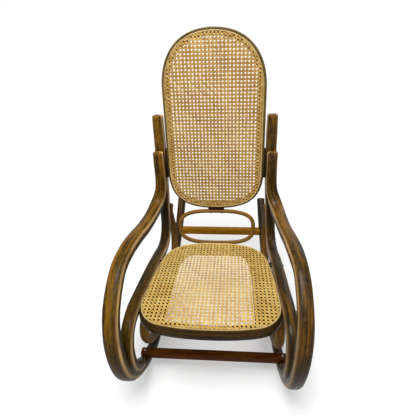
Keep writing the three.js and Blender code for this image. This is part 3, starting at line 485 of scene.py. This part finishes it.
# The arm runs down from the back and forward, into the front loop and on into the runner
arm_marks = [
    (209.5, -3, 388, 38), (209.5, -5, 335, 38), (211, -13, 280, 40), (216, -20, 228, 43),
    (227, -10, 187, 47), (236, 18, 162, 47), (242, 72, 151, 44), (247, 150, 151, 43),
    (252, 225, 159, 44), (256, 298, 161, 44), (260, 356, 146, 42), (261, 402, 113, 43),
    (259, 446, 67, 43), (255, 472, 9, 43), (250, 478, -60, 42), (246, 463, -132, 40),
    (243, 428, -193, 37), (240, 385, -235, 35), (238, 340, -266, 34), (237, 296, -290, 33),
    (236, 257, -305, 33), runner_mark(-3.5), runner_mark(-2.5),
]
runner = [runner_mark(facets) for facets in np.arange(-2.3, 11.51, 0.2)]
arm_path = np.vstack([smooth_path(arm_marks), runner])
# The upright runs down into the rail beside the seat and on into the front curl
upright_path = smooth_path([
    (207, -30, 519, 37), (207, -31, 470, 39), (207, -33, 400, 40), (209, -42, 300, 40),
    (214, -58, 200, 40), (221, -76, 100, 39), (226, -84, 20, 39), (229, -66, -28, 40),
    (230, -10, -43, 41), (232.9, 60, -37, 42), (235.35, 150, -29, 42), (237.45, 250, -24, 42),
    (240.5, 338, -22, 40), (241.5, 394, -38, 38), (240.5, 426, -80, 38), (236.5, 433, -130, 37),
    (234.5, 417, -174, 34), (232.5, 391, -206, 32), (230.5, 360, -229, 29),
])
# The scroll starts under the seat's rim, curls forward and down, runs back and rises behind
scroll_path = smooth_path([
    (202, 180, -54.9, 27), (208, 240, -56.9, 29), (216, 292, -71.9, 31), (220, 325, -109.9, 31),
    (220, 329, -145.9, 31), (219, 300, -194, 31), (219, 252, -232, 31), (220, 185, -266, 31),
    (220, 115, -278, 30), (218, 35, -263, 30), (214, -50, -226, 30), (210, -120, -170, 30),
    (210, -158, -96, 30), (211, -158, -21.9, 30), (212, -136, 36, 29), (211, -115, 86, 28),
    (206, -116, 118, 26),
])

for side, hand, tone in ((-1, "left", walnut), (1, "right", deep_walnut)):
    finished(rod(f"{hand}_arm_and_runner", arm_path, tone, side, sides=32, cap=5,
                 seed=0.4 + side, square=3.4, sole=on_the_sole), f"{hand}_arm_rocker")
    finished(rod(f"{hand}_upright_rod", upright_path, tone, side, sides=28, cap=5,
                 seed=1.3 + side, square=3.2), f"{hand}_back_upright")
    finished(rod(f"{hand}_scroll_rod", scroll_path, tan_walnut, side, sides=20, cap=6,
                 seed=2.2 + side), f"{hand}_scroll")


# ---- Rims, splines, outlines
def bezier(*numbers, count=60):
    """A curve from its four points, given as x and y in turn."""
    t = np.linspace(0, 1, count)[:, None]
    a, b, c, d = np.array(numbers, float).reshape(4, 2)
    return a * (1 - t) ** 3 + 3 * b * t * (1 - t) ** 2 + 3 * c * t * t * (1 - t) + d * t ** 3


def mirrored_loop(parts, steps):
    """A closed outline from the curves of its right half, in even steps."""
    half = np.vstack(parts)
    moved = np.linalg.norm(np.diff(half, axis=0), axis=1) > 1e-6
    half = half[np.concatenate([[True], moved])]
    lengths = path_lengths(half)
    places = np.linspace(0, lengths[-1], steps + 1)
    half = np.column_stack([np.interp(places, lengths, values) for values in half.T])
    return np.vstack([half, half[-2:0:-1] * (-1, 1)])


def seat_outline(steps):
    r, w, d = SEAT_REAR_HALF, SEAT_FRONT_HALF, SEAT_DEPTH
    return mirrored_loop([
        bezier(0, 0, r * 0.55, 0, r * 0.92, 22, r, 120),
        bezier(r, 120, r + 9, 175, w - 1.5, 260, w, 325),
        bezier(w, 325, w + 1, 365, 196, d - 25, 150, d - 14),
        bezier(150, d - 14, 104, d - 3, 50, d, 0, d),
    ], steps)


def back_outline(steps):
    h, t = BACK_HALF, BACK_HEIGHT
    return mirrored_loop([
        bezier(0, 0, 112, 0, h, 32, h, 152),
        [(h, 152), (h, t - 185)],
        bezier(h, t - 185, h - 5, t - 56, 100, t, 0, t),
    ], steps)


def inset_loop(loop, distance):
    """A closed outline moved inwards."""
    along = np.roll(loop, -1, axis=0) - np.roll(loop, 1, axis=0)
    along /= np.linalg.norm(along, axis=1)[:, None]
    return loop + np.column_stack([-along[:, 1], along[:, 0]]) * distance


def softened(corners, steps):
    """A closed section whose corners (inwards, height, radius) are rounded."""
    out = []
    for i, (x, y, radius) in enumerate(corners):
        corner = np.array((x, y))
        before = np.array(corners[i - 1][:2]) - corner
        after = np.array(corners[(i + 1) % len(corners)][:2]) - corner
        reach = min(radius, 0.48 * np.linalg.norm(before), 0.48 * np.linalg.norm(after))
        a = corner + before / np.linalg.norm(before) * reach
        b = corner + after / np.linalg.norm(after) * reach
        for t in np.linspace(0, 1, steps):
            out.append(tuple(a * (1 - t) ** 2 + 2 * corner * t * (1 - t) + b * t * t))
    return out


def rim(name, loop, section, lift, material):
    """A section swept round a closed outline; the grain runs round it from both sides."""
    steps = np.linalg.norm(np.roll(loop, -1, axis=0) - loop, axis=1)
    lengths = np.concatenate([[0], np.cumsum(steps)[:-1]])
    round_length = np.minimum(lengths, steps.sum() - lengths)
    rows = [inset_loop(loop, inwards) for inwards, _ in section]
    points, grain = [], []
    for i, length in enumerate(round_length):
        for (inwards, height), row in zip(section, rows):
            points.append(lift(*row[i], height))
            grain.append((inwards * MM, height * MM, length * MM))
    faces = tube_faces(len(loop), len(section), closed=True)
    return piece(name, points, faces, grain, material)


def seat_lift(x, y, height):
    return at(x, y, SEAT_RIM_TOP + height)


def back_lift(x, y, height):
    return at(x, BACK_FACE_F + height, BACK_FOOT_U + y)


def rim_section(width, height, bulge, groove, edge):
    """A rim's section, from its outer edge inwards: the groove, the sides and a bulge outwards."""
    g0, g1 = groove, groove + GROOVE_WIDTH
    return softened([
        (min(3, g0 * 0.6), 0, edge), (g0, 0, 0.3), (g0, -GROOVE_DEPTH, 0.2),
        (g1, -GROOVE_DEPTH, 0.2), (g1, 0, 0.3), (width, 0, 2), (width, -height + 2, 3),
        (width - 3, -height, 2), (4, -height, 5), (-bulge, -height + 7, 6),
        (-bulge, -height * 0.42, 6), (-bulge * 0.2, -height * 0.3, 4), (0, -3, edge),
    ], steps=4)


def spline_section(groove):
    """The reed that wedges the cane in a groove and stands a little proud of it."""
    middle, foot = groove + GROOVE_WIDTH / 2, 0.3 - GROOVE_DEPTH
    return softened([
        (middle - 2.2, foot, 0.4), (middle - 2.4, 0.9, 1.4), (middle - 1.1, 2.3, 1.4),
        (middle + 1.1, 2.3, 1.4), (middle + 2.4, 0.9, 1.4), (middle + 2.2, foot, 0.4),
    ], steps=3)


seat_loop, back_loop = seat_outline(steps=110), back_outline(steps=130)
seat_section = rim_section(SEAT_RIM_WIDTH, SEAT_RIM_HEIGHT, 4, SEAT_GROOVE, edge=1.4)
back_section = rim_section(BACK_RIM_WIDTH, BACK_RIM_DEPTH, 2, BACK_GROOVE, edge=2.6)
for name, node, section, wood, slot in (
    ("seat_rim", "seat_frame", seat_section, rim_walnut, "walnut"),
    ("back_rim", "back_frame", back_section, olive_walnut, "walnut"),
    ("seat_spline_cord", "seat_spline", spline_section(SEAT_GROOVE), spline_cane, "cane_spline"),
    ("back_spline_cord", "back_spline", spline_section(BACK_GROOVE), spline_cane, "cane_spline"),
):
    loop, lift = (seat_loop, seat_lift) if name.startswith("seat") else (back_loop, back_lift)
    finished(rim(name, loop, section, lift, wood), node)


def inner_rail():
    """The flat rail inside the seat's rim: a U that is open towards the front, with eased edges."""
    half, rear = SEAT_OPENING_HALF, SEAT_OPENING_REAR
    side_end, corner_x, arms_from = rear + 130, half - 48, 300
    outer = inset_loop(seat_loop, SEAT_RIM_WIDTH + 0.3)
    outer = outer[:len(outer) // 2]
    outer = outer[(outer[:, 1] < arms_from) | (outer[:, 0] > half)]
    inner = np.vstack([
        np.column_stack([np.full(12, half), np.linspace(outer[-1][1] - 0.5, side_end, 12)]),
        bezier(half, side_end, half - 4, rear + 60, half - 14, rear + 4, corner_x, rear,
               count=14)[1:],
        np.column_stack([np.linspace(corner_x, 0, 5)[1:-1], np.full(3, rear)]),
    ])
    right = np.vstack([outer, inner])
    loop = np.vstack([right, inner[::-1] * (-1, 1), outer[:0:-1] * (-1, 1)])
    top, low, soft = INNER_RAIL_TOP, INNER_RAIL_TOP - INNER_RAIL_THICK, 1.5
    rows = ((soft, low), (0.4 * soft, low + 0.4 * soft), (0, low + soft), (0, top - soft),
            (0.4 * soft, top - 0.4 * soft), (soft, top))
    points, grain = [], []
    for inwards, height in rows:
        for x, y in inset_loop(loop, inwards):
            points.append(seat_lift(x, y, height))
            grain.append((x * MM, height * MM, y * MM))
    faces = tube_faces(len(rows), len(loop), capped=True)
    return piece("seat_inner_rail_board", points, faces, grain, walnut_in_painted_shade)


finished(inner_rail(), "seat_inner_rail")


# ---- Woven cane
def new_tree(name, inputs):
    """A Geometry Nodes tree with named inputs of each kind, and its input sockets by name."""
    tree = bpy.data.node_groups.new(name, "GeometryNodeTree")
    tree.interface.new_socket("Geometry", in_out="OUTPUT", socket_type="NodeSocketGeometry")
    for kind, labels in inputs.items():
        for label in labels:
            tree.interface.new_socket(label, in_out="INPUT", socket_type="NodeSocket" + kind)
    return tree, tree.nodes.new("NodeGroupInput").outputs


def end_tree(tree, geometry, material):
    """Makes a tree's result real geometry with its material."""
    real = wire(tree, "GeometryNodeRealizeInstances", {"Geometry": geometry})
    done = wire(tree, "GeometryNodeSetMaterial", {"Geometry": real, "Material": material})
    add_node(tree, "NodeGroupOutput", {0: done})
    return tree


def even_line(tree, count, step, offset, axis):
    """Points at even steps along an axis, centred at an offset."""
    spans = calc(tree, "MULTIPLY", calc(tree, "SUBTRACT", count, 1), -0.5)
    start = calc(tree, "MULTIPLY_ADD", spans, step, offset)
    return wire(tree, "GeometryNodeMeshLine", {
        "Count": count, "Start Location": combine(tree, **{axis: start}),
        "Offset": combine(tree, **{axis: step}),
    }, mode="OFFSET")


def cane_pass_tree():
    """One pass of caning over a flat area: evenly spaced strands, each waving over and under the
    others, cut where the area ends and pressed down along its edge."""
    tree, given = new_tree("cane_pass", {
        "Geometry": ["Caned Area"], "Int": ["Strands", "Points"], "Vector": ["Wave Axis"],
        "Float": ["Spacing", "First Offset", "Step", "Turn", "Wave Length", "Wave Start",
                  "Wave Height", "Strand Width", "Strand Thickness", "Edge Width", "Edge Drop"],
        "Material": ["Cane"],
    })
    starts = even_line(tree, given["Strands"], given["Spacing"], given["First Offset"], "x")
    strand = even_line(tree, given["Points"], given["Step"], 0.0, "y")
    laid = wire(tree, "GeometryNodeInstanceOnPoints", {"Points": starts, "Instance": strand})
    laid = wire(tree, "GeometryNodeRealizeInstances", {"Geometry": laid})
    position = wire(tree, "GeometryNodeInputPosition")
    x, y, _ = add_node(tree, "ShaderNodeSeparateXYZ", {0: position}).outputs
    kept = wire(tree, "GeometryNodeStoreNamedAttribute",
                {"Geometry": laid, "Name": "grain", "Value": combine(tree, x, 0.0, y)},
                data_type="FLOAT_VECTOR", domain="POINT")
    turned = wire(tree, "ShaderNodeVectorRotate", {"Vector": position, "Angle": given["Turn"]},
                  rotation_type="Z_AXIS")
    moved = wire(tree, "GeometryNodeSetPosition", {"Geometry": kept, "Position": turned})

    # Cut off what lies outside the area, seen straight from above
    inside = wire(tree, "GeometryNodeRaycast", {
        "Target Geometry": given["Caned Area"],
        "Source Position": vector(tree, "ADD", position, (0, 0, 1)),
        "Ray Direction": (0, 0, -1), "Ray Length": 2.0,
    }, "Is Hit")
    outside = wire(tree, "FunctionNodeBooleanMath", {0: inside}, operation="NOT")
    trimmed = wire(tree, "GeometryNodeDeleteGeometry", {"Geometry": moved, "Selection": outside},
                   domain="POINT")

    # Wave over and under the other strands, less towards the edge, which the groove holds down
    held = wire(tree, "GeometryNodeProximity", {0: given["Caned Area"]}, "Distance",
                target_element="EDGES")
    held = calc(tree, "DIVIDE", held, given["Edge Width"], clamp=True)
    held = calc(tree, "MULTIPLY", held, calc(tree, "SUBTRACT", 2.0, held))
    phase = vector(tree, "DOT_PRODUCT", position, given["Wave Axis"])
    phase = calc(tree, "DIVIDE", phase, given["Wave Length"])
    phase = calc(tree, "ADD", phase, given["Wave Start"])
    wave = calc(tree, "SINE", calc(tree, "MULTIPLY", phase, 2 * pi))
    wave = calc(tree, "MULTIPLY", wave, given["Wave Height"])
    drop = calc(tree, "SUBTRACT", 1.0, held)
    drop = calc(tree, "MULTIPLY", drop, given["Edge Drop"])
    height = calc(tree, "SUBTRACT", calc(tree, "MULTIPLY", wave, held), drop)
    woven = wire(tree, "GeometryNodeSetPosition",
                 {"Geometry": trimmed, "Offset": combine(tree, z=height)})

    lines = wire(tree, "GeometryNodeMeshToCurve", {0: woven})
    level = wire(tree, "GeometryNodeSetCurveNormal", {0: lines}, mode="Z_UP")
    skin = wire(tree, "GeometryNodeCurvePrimitiveCircle", {"Resolution": 6, "Radius": 0.5},
                mode="RADIUS")
    size = combine(tree, given["Strand Width"], given["Strand Thickness"], 1.0)
    skin = wire(tree, "GeometryNodeTransform", {"Geometry": skin, "Scale": size})
    solid = wire(tree, "GeometryNodeCurveToMesh",
                 {"Curve": level, "Profile Curve": skin, "Fill Caps": True})
    return end_tree(tree, solid, given["Cane"])


def grown(obj, tree, values):
    """Runs a tree on an object with named inputs and keeps the result as a plain mesh."""
    modifier = obj.modifiers.new(tree.name, "NODES")
    modifier.node_group = tree
    named = {item.name: item.identifier for item in tree.interface.items_tree
             if item.item_type == "SOCKET" and item.in_out == "INPUT"}
    for label, value in values.items():
        modifier[named[label]] = value
    graph = bpy.context.evaluated_depsgraph_get()
    mesh = bpy.data.meshes.new_from_object(obj.evaluated_get(graph))
    obj.modifiers.clear()
    obj.data = mesh
    mesh.name = obj.name


cane_pass = cane_pass_tree()


def caning(panel, loop, flip, middle, groove, place, straight, slanted):
    """The six passes of the pattern: two rear to front, two side to side and two diagonals.
    The straight and the slanted strands each have a width and a cane."""
    area = (inset_loop(loop, groove + GROOVE_WIDTH * 0.55) - (0, middle)) * (1, flip) * MM
    reach = 2 * np.abs(area).max(axis=0)
    corner_reach = [float(np.hypot(*reach))] * 2
    pitch, slant, gap = CANE_PITCH, CANE_PITCH / sqrt(2), STRAND_PAIR_HALF_GAP
    along, sideways = (0, 1, 0), (1, 0, 0)
    for label, turn, spacing, offset, (wide, long), axis, start in (
        ("first_upright_pass", 0, pitch, -gap, reach, along, 0.0),
        ("first_level_pass", -90, pitch, -gap, reach[::-1], sideways, 0.5),
        ("second_upright_pass", 0, pitch, gap, reach, along, 0.5),
        ("second_level_pass", -90, pitch, gap, reach[::-1], sideways, 0.0),
        ("left_diagonal_pass", 45, slant, slant / 2, corner_reach, sideways, -0.25),
        ("right_diagonal_pass", -45, slant, slant / 2, corner_reach, sideways, 0.25),
    ):
        mesh = bpy.data.meshes.new(f"{panel}_{label}")
        mesh.from_pydata([(x, y, 0) for x, y in area], [], [tuple(range(len(area)))])
        obj = placed(mesh.name, mesh)
        if spacing == slant:
            (width, cane), step, wave = slanted, pitch * sqrt(2) / 4, 0.95 * MM
        else:
            (width, cane), step, wave = straight, pitch / 4, 0.55 * MM
        grown(obj, cane_pass, {
            "Strands": 2 * int(wide / spacing / 2 + 1) + 1, "Spacing": spacing,
            "First Offset": offset, "Points": 8 * int(long / step / 8 + 1) + 1, "Step": step,
            "Turn": radians(turn), "Wave Axis": axis, "Wave Length": pitch,
            "Wave Start": start, "Wave Height": wave, "Strand Width": width * MM,
            "Strand Thickness": STRAND_THICK, "Edge Width": CANE_HELD_WIDTH,
            "Edge Drop": CANE_HELD_DROP, "Cane": cane,
        })
        obj.data.transform(place)
        obj.data.shade_smooth()
        finished(obj, f"{panel}_cane")


def plane_matrix(origin, right, up, out):
    """Moves a flat piece's own axes to three directions in the scene."""
    return Matrix.Translation(origin) @ Matrix((right, up, out)).transposed().to_4x4()


seat_middle, back_middle = SEAT_DEPTH / 2, BACK_HEIGHT / 2
caning("seat", seat_loop, -1, seat_middle, SEAT_GROOVE,
       plane_matrix(seat_lift(0, seat_middle, CANE_LIFT), across, -forward, upward),
       (2.35, seat_straight_cane), (2.0, seat_slant_cane))
caning("back", back_loop, 1, back_middle, BACK_GROOVE,
       plane_matrix(back_lift(0, back_middle, CANE_LIFT), across, upward, forward),
       (3.7, back_straight_cane), (3.5, back_slant_cane))


# ---- Bars and ring
def bar(name, half, width, height, f, u, soft, material):
    """A bar across the chair with softened edges and ends."""
    a, b, ease = width / 2, height / 2, 4.0
    section = softened([(-a, -b, soft), (a, -b, soft), (a, b, soft), (-a, b, soft)], steps=5)
    ends = [(half - ease + ease * sin(turn), ease * (1 - cos(turn)))
            for turn in np.linspace(0, pi / 2, 5)]
    inner = [(x, 0.0) for x in np.linspace(-half + ease, half - ease, 60)[1:-1]]
    stations = [(-x, shrink) for x, shrink in ends[::-1]] + inner + ends
    points, grain = [], []
    for x, shrink in stations:
        for c, d in section:
            points.append(at(x, f + c * (1 - shrink / a), u + d * (1 - shrink / b)))
            grain.append((c * MM, d * MM, x * MM))
    faces = tube_faces(len(stations), len(section), capped=True)
    return piece(name, points, faces, grain, material)


stretcher_low, stretcher_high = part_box("front_stretcher")
stretcher_middle = (stretcher_low + stretcher_high) / 2 - seat_origin
finished(bar("front_stretcher_bar", STRETCHER_HALF, STRETCHER_WIDTH, STRETCHER_HEIGHT,
             stretcher_middle.dot(forward) / MM, stretcher_middle.dot(upward) / MM, 5, red_walnut),
         "front_stretcher")
finished(bar("rear_crossbar", bar_x - 12, REAR_BAR_WIDTH, REAR_BAR_HEIGHT,
             REAR_BAR_F, bar_u, 8, amber_wood), "rear_bar")


def brace_ring():
    """The oval hoop of thin rod between the foot of the back and the seat's rear rim."""
    (top_u, top_f), (foot_u, foot_f), half, thick = (130, -29), (-11.9, -18), 149, 16
    squareness, grain_step, count, sides = 3, 0.0055, 128, 16
    centres = []
    for c, s in circle(count):
        reach = (abs(c) ** squareness + abs(s) ** squareness) ** (-1 / squareness)
        share = (s * reach + 1) / 2
        centres.append(at(half * c * reach, foot_f + (top_f - foot_f) * share,
                          foot_u + (top_u - foot_u) * share))
    points, grain = [], []
    for i, centre in enumerate(centres):
        wide, out = section_axes(centres[i - 1], centres[(i + 1) % count], forward)
        for c, s in circle(sides):
            c, s = c * thick / 2 * MM, s * thick / 2 * MM
            points.append(centre + wide * c + out * s)
            grain.append((c, s, min(i, count - i) * grain_step))
    faces = tube_faces(count, sides, closed=True)
    return piece("brace_hoop", points, faces, grain, tan_walnut)


finished(brace_ring(), "brace_ring")


# ---- Blocks and sleeves
def block(name, centre, size, soft, material, grain_axis="u"):
    """A small block with rounded edges, square to the seat; the grain runs along an axis."""
    work = bmesh.new()
    bmesh.ops.create_cube(work, size=1)
    bmesh.ops.scale(work, vec=size, verts=work.verts)
    bmesh.ops.bevel(work, geom=list(work.edges), offset=soft, segments=3, profile=0.5,
                    affect="EDGES")
    corners = [v.co.copy() for v in work.verts]
    faces = [[v.index for v in face.verts] for face in work.faces]
    work.free()
    points = [at(*(middle + offset for middle, offset in zip(centre, p))) for p in corners]
    order = {"x": (1, 2, 0), "u": (0, 1, 2)}[grain_axis]
    grain = [tuple(p[k] * MM for k in order) for p in corners]
    return piece(name, points, faces, grain, material)


SLEEVE_RADIUS = 10.8 * MM


def sleeve(name, low, high, radius, material):
    """A short turned sleeve along x, slightly waisted, with eased ends."""
    profile = [(0.0, 0.72), (0.03, 0.93), (0.09, 1.0), (0.2, 0.98), (0.5, 0.9), (0.8, 0.98),
               (0.91, 1.0), (0.97, 0.93), (1.0, 0.72)]
    sides = 24
    points, grain = [], []
    for share, size in profile:
        centre = low.lerp(high, share)
        for c, s in circle(sides):
            offset = Vector((0, c, s)) * (radius * size)
            points.append(centre + offset)
            grain.append((offset.y, offset.z, centre.x))
    return piece(name, points, tube_faces(len(profile), sides, capped=True), grain, material)


for side, hand in ((-1, "left"), (1, "right")):
    finished(block(f"{hand}_back_spacer_block", (side * 186, -30, 335), (11, 17, 114), 2,
                   dark_wood), f"{hand}_back_spacer")
    finished(block(f"{hand}_rear_block_end", (side * (bar_x + 26), REAR_BAR_F, bar_u + 6),
                   (18, 26, 28), 3, amber_wood, "x"), f"{hand}_rear_block")
    low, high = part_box(f"{hand}_seat_sleeve")
    middle = (low + high) / 2
    ends = [Vector((x, middle.y, middle.z)) for x in (low.x, high.x)]
    finished(sleeve(f"{hand}_seat_sleeve_turned", *ends, SLEEVE_RADIUS, dark_wood),
             f"{hand}_seat_sleeve")
finished(block("brace_top_block", (0, -29, 140.5), (64, 9.6, 12), 2, dark_wood, "x"),
         "brace_top_pad")
finished(block("brace_foot_block", (0, -9.5, -11.9), (64, 11, 9.6), 2, dark_wood, "x"),
         "brace_foot_pad")


# ---- Screws and bolts
def screw_tree():
    """A slotted screw or bolt that stands on its point: a domed head, its slot and the shank."""
    tree, given = new_tree("slotted_screw", {
        "Geometry": ["Blank"], "Material": ["Steel"],
        "Float": ["Head Radius", "Dome", "Shank Radius", "Length", "Slot Width", "Slot Depth"],
    })
    head_radius, dome, shank_radius = given["Head Radius"], given["Dome"], given["Shank Radius"]
    ball = wire(tree, "GeometryNodeMeshUVSphere", {"Segments": 28, "Rings": 16})
    position = wire(tree, "GeometryNodeInputPosition")
    x, y, z = add_node(tree, "ShaderNodeSeparateXYZ", {0: position}).outputs
    flat = combine(tree, x, y, calc(tree, "MAXIMUM", z, -0.16))
    cap = wire(tree, "GeometryNodeSetPosition", {"Geometry": ball, "Position": flat})
    cap = wire(tree, "GeometryNodeTransform",
               {"Geometry": cap, "Scale": combine(tree, head_radius, head_radius, dome)})
    slot_length = calc(tree, "MULTIPLY", head_radius, 3.0)
    tool = wire(tree, "GeometryNodeMeshCube", {
        "Size": combine(tree, given["Slot Width"], slot_length, given["Slot Depth"]),
    })
    tool = wire(tree, "GeometryNodeTransform",
                {"Geometry": tool, "Translation": combine(tree, z=dome)})
    head = wire(tree, "GeometryNodeMeshBoolean", {"Mesh 1": cap, "Mesh 2": tool},
                operation="DIFFERENCE")
    shank = wire(tree, "GeometryNodeMeshCone", {
        "Vertices": 16, "Radius Top": shank_radius, "Depth": given["Length"],
        "Radius Bottom": calc(tree, "MULTIPLY", shank_radius, 0.55),
    })
    down = calc(tree, "MULTIPLY", given["Length"], -1.0)
    shank = wire(tree, "GeometryNodeTransform",
                 {"Geometry": shank, "Translation": combine(tree, z=down)})
    both = add_node(tree, "GeometryNodeJoinGeometry")
    for part in (shank, head):
        tree.links.new(part, both.inputs[0])
    return end_tree(tree, both.outputs[0], given["Steel"])


def screw_axis(node):
    """Tip and dome of a screw's solid: its furthest vertices. More of them lie at the dome."""
    near_reach = 9 * MM
    spots = np.array([v.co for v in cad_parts[node].data.vertices])
    spans = np.linalg.norm(spots[:, None] - spots[None], axis=2)
    ends = np.unravel_index(spans.argmax(), spans.shape)
    near = [(spans[end] < near_reach).sum() for end in ends]
    tip, dome = ends if near[0] < near[1] else ends[::-1]
    return Vector(spots[tip]), Vector(spots[dome])


slotted_screw = screw_tree()
SLOT_WIDTH = 1.3 * MM
# Head radius, height of the dome, shank radius and places on each side
fasteners = {
    "bolt": (7.5, 3.2, 3.0, ("seat_front", "seat_rear", "arm_upper", "arm_lower", "back_upper",
                             "back_lower", "rear_bar")),
    "screw": (4.6, 2.2, 2.2, ("curl", "scroll_front", "scroll_middle", "scroll_rear", "stretcher",
                              "brace_top", "brace_foot")),
}
nodes = [(f"{hand}_{place}_{kind}", sizes) for hand in ("left", "right")
         for kind, (*sizes, places) in fasteners.items() for place in places]
for order, (node, sizes) in enumerate(nodes):
    tip, dome = screw_axis(node)
    head, rise, shank = (size * MM for size in sizes)
    name = f"{node}_head"
    obj = placed(name, bpy.data.meshes.new(name))
    grown(obj, slotted_screw, {
        "Head Radius": head, "Dome": rise, "Shank Radius": shank,
        "Length": ((dome - tip).length - rise) / 2, "Slot Width": SLOT_WIDTH,
        "Slot Depth": rise * 0.9, "Steel": steel,
    })
    along = (dome - tip).normalized()
    turn = along.to_track_quat("Z", "Y").to_matrix().to_4x4()
    spin = Matrix.Rotation(0.9 * order, 4, "Z")  # no two slots lie the same way
    obj.data.transform(Matrix.Translation(dome - along * rise) @ turn @ spin)
    obj.data.shade_smooth()
    obj.data.set_sharp_from_angle(angle=radians(35))
    finished(obj, node)


# ---- Floor, light, camera
WHITE = (1, 1, 1, 1)


def seen_or_mirrored(tree):
    """1 where the camera, a gloss or a clear surface shows the backdrop, else 0."""
    path = add_node(tree, "ShaderNodeLightPath").outputs
    either = calc(tree, "MAXIMUM", path["Is Camera Ray"], path["Is Glossy Ray"])
    return calc(tree, "MAXIMUM", either, path["Is Transmission Ray"])


def pale_floor():
    """A floor that keeps the chair's shadow near it and fades to plain white further out. It
    lights the chair as a plain grey floor would."""
    bpy.ops.mesh.primitive_plane_add(size=14, location=(0, 0, -0.0004))
    floor = bpy.context.object
    floor.name = "floor"
    material, tree, shader = new_material("pale floor")
    tree.nodes.remove(shader)
    place = wire(tree, "ShaderNodeTexCoord", output="Object")
    place = vector(tree, "ADD", place, (0, 0.3, 0))
    away = vector(tree, "LENGTH", place)
    far = map_range(tree, away, (0.3, 1.05), (0, 1), interpolation_type="SMOOTHSTEP")
    plain = wire(tree, "ShaderNodeBsdfDiffuse", {"Color": (0.42, 0.42, 0.42, 1)})
    shaded = wire(tree, "ShaderNodeBsdfDiffuse", {"Color": (0.66, 0.66, 0.66, 1)})
    glow = wire(tree, "ShaderNodeEmission", {"Color": WHITE, "Strength": 0.37})
    white = wire(tree, "ShaderNodeEmission", {"Color": WHITE, "Strength": 1.02})
    near = wire(tree, "ShaderNodeAddShader", {0: shaded, 1: glow})
    shown = wire(tree, "ShaderNodeMixShader", {0: far, 1: near, 2: white})
    mixed = wire(tree, "ShaderNodeMixShader", {0: seen_or_mirrored(tree), 1: plain, 2: shown})
    tree.links.new(mixed, tree.nodes["Material Output"].inputs["Surface"])
    floor.data.materials.append(material)
    floor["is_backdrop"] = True


def studio_world():
    """White where it is seen, and a soft even light on the chair."""
    world = bpy.data.worlds.new("studio")
    world.use_nodes = True
    bpy.context.scene.world = world
    tree = world.node_tree
    tree.nodes.clear()
    soft = wire(tree, "ShaderNodeBackground", {"Color": WHITE, "Strength": 0.16})
    white = wire(tree, "ShaderNodeBackground", {"Color": WHITE, "Strength": 1.0})
    mixed = wire(tree, "ShaderNodeMixShader", {0: seen_or_mirrored(tree), 1: soft, 2: white})
    add_node(tree, "ShaderNodeOutputWorld", {"Surface": mixed})


def soft_lamp(name, place, target, size, power):
    """A round softbox aimed at a target."""
    data = bpy.data.lights.new(name, "AREA")
    data.shape = "DISK"
    data.size = size
    data.energy = power
    lamp = placed(name, data)
    lamp.location = place
    lamp.rotation_euler = (Vector(target) - Vector(place)).to_track_quat("-Z", "Y").to_euler()


def camera():
    """A camera at the photograph's angle, solved from the outlines of the seat and the back."""
    picture, sensor = 416, 36  # widths in pixels and in millimetres
    focal, centre_x, centre_y = 303.46, 214.076, 173.562  # in pixels
    data = bpy.data.cameras.new("camera")
    data.sensor_fit = "HORIZONTAL"
    data.sensor_width = sensor
    data.lens = focal / picture * sensor
    data.shift_x = (picture / 2 - centre_x) / picture
    data.shift_y = (centre_y - picture / 2) / picture
    data.clip_start, data.clip_end = 0.02, 60
    place = Vector((0.0739473, -0.87404945, 1.19607061))
    right = Vector((0.99767267, 0.05973461, -0.03287898))
    up = Vector((-0.00366619, 0.52849654, 0.84892754))
    away = Vector((0.06808678, -0.84683126, 0.52748555))
    obj = placed("camera", data)
    obj.matrix_world = plane_matrix(place, right, up, away)
    bpy.context.scene.camera = obj


pale_floor()
studio_world()
soft_lamp("overhead softbox", (-0.1, -0.8, 2.9), (0, 0, 0.4), size=1.2, power=88)
soft_lamp("front softbox", (-0.5, -3.0, 2.6), (0, 0, 0.6), size=1.0, power=10)
soft_lamp("rear softbox", (1.5, 2.2, 2.0), (0, 0, 0.5), size=1.4, power=20)
camera()
bpy.context.scene.view_settings.view_transform = "Standard"

low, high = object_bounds()
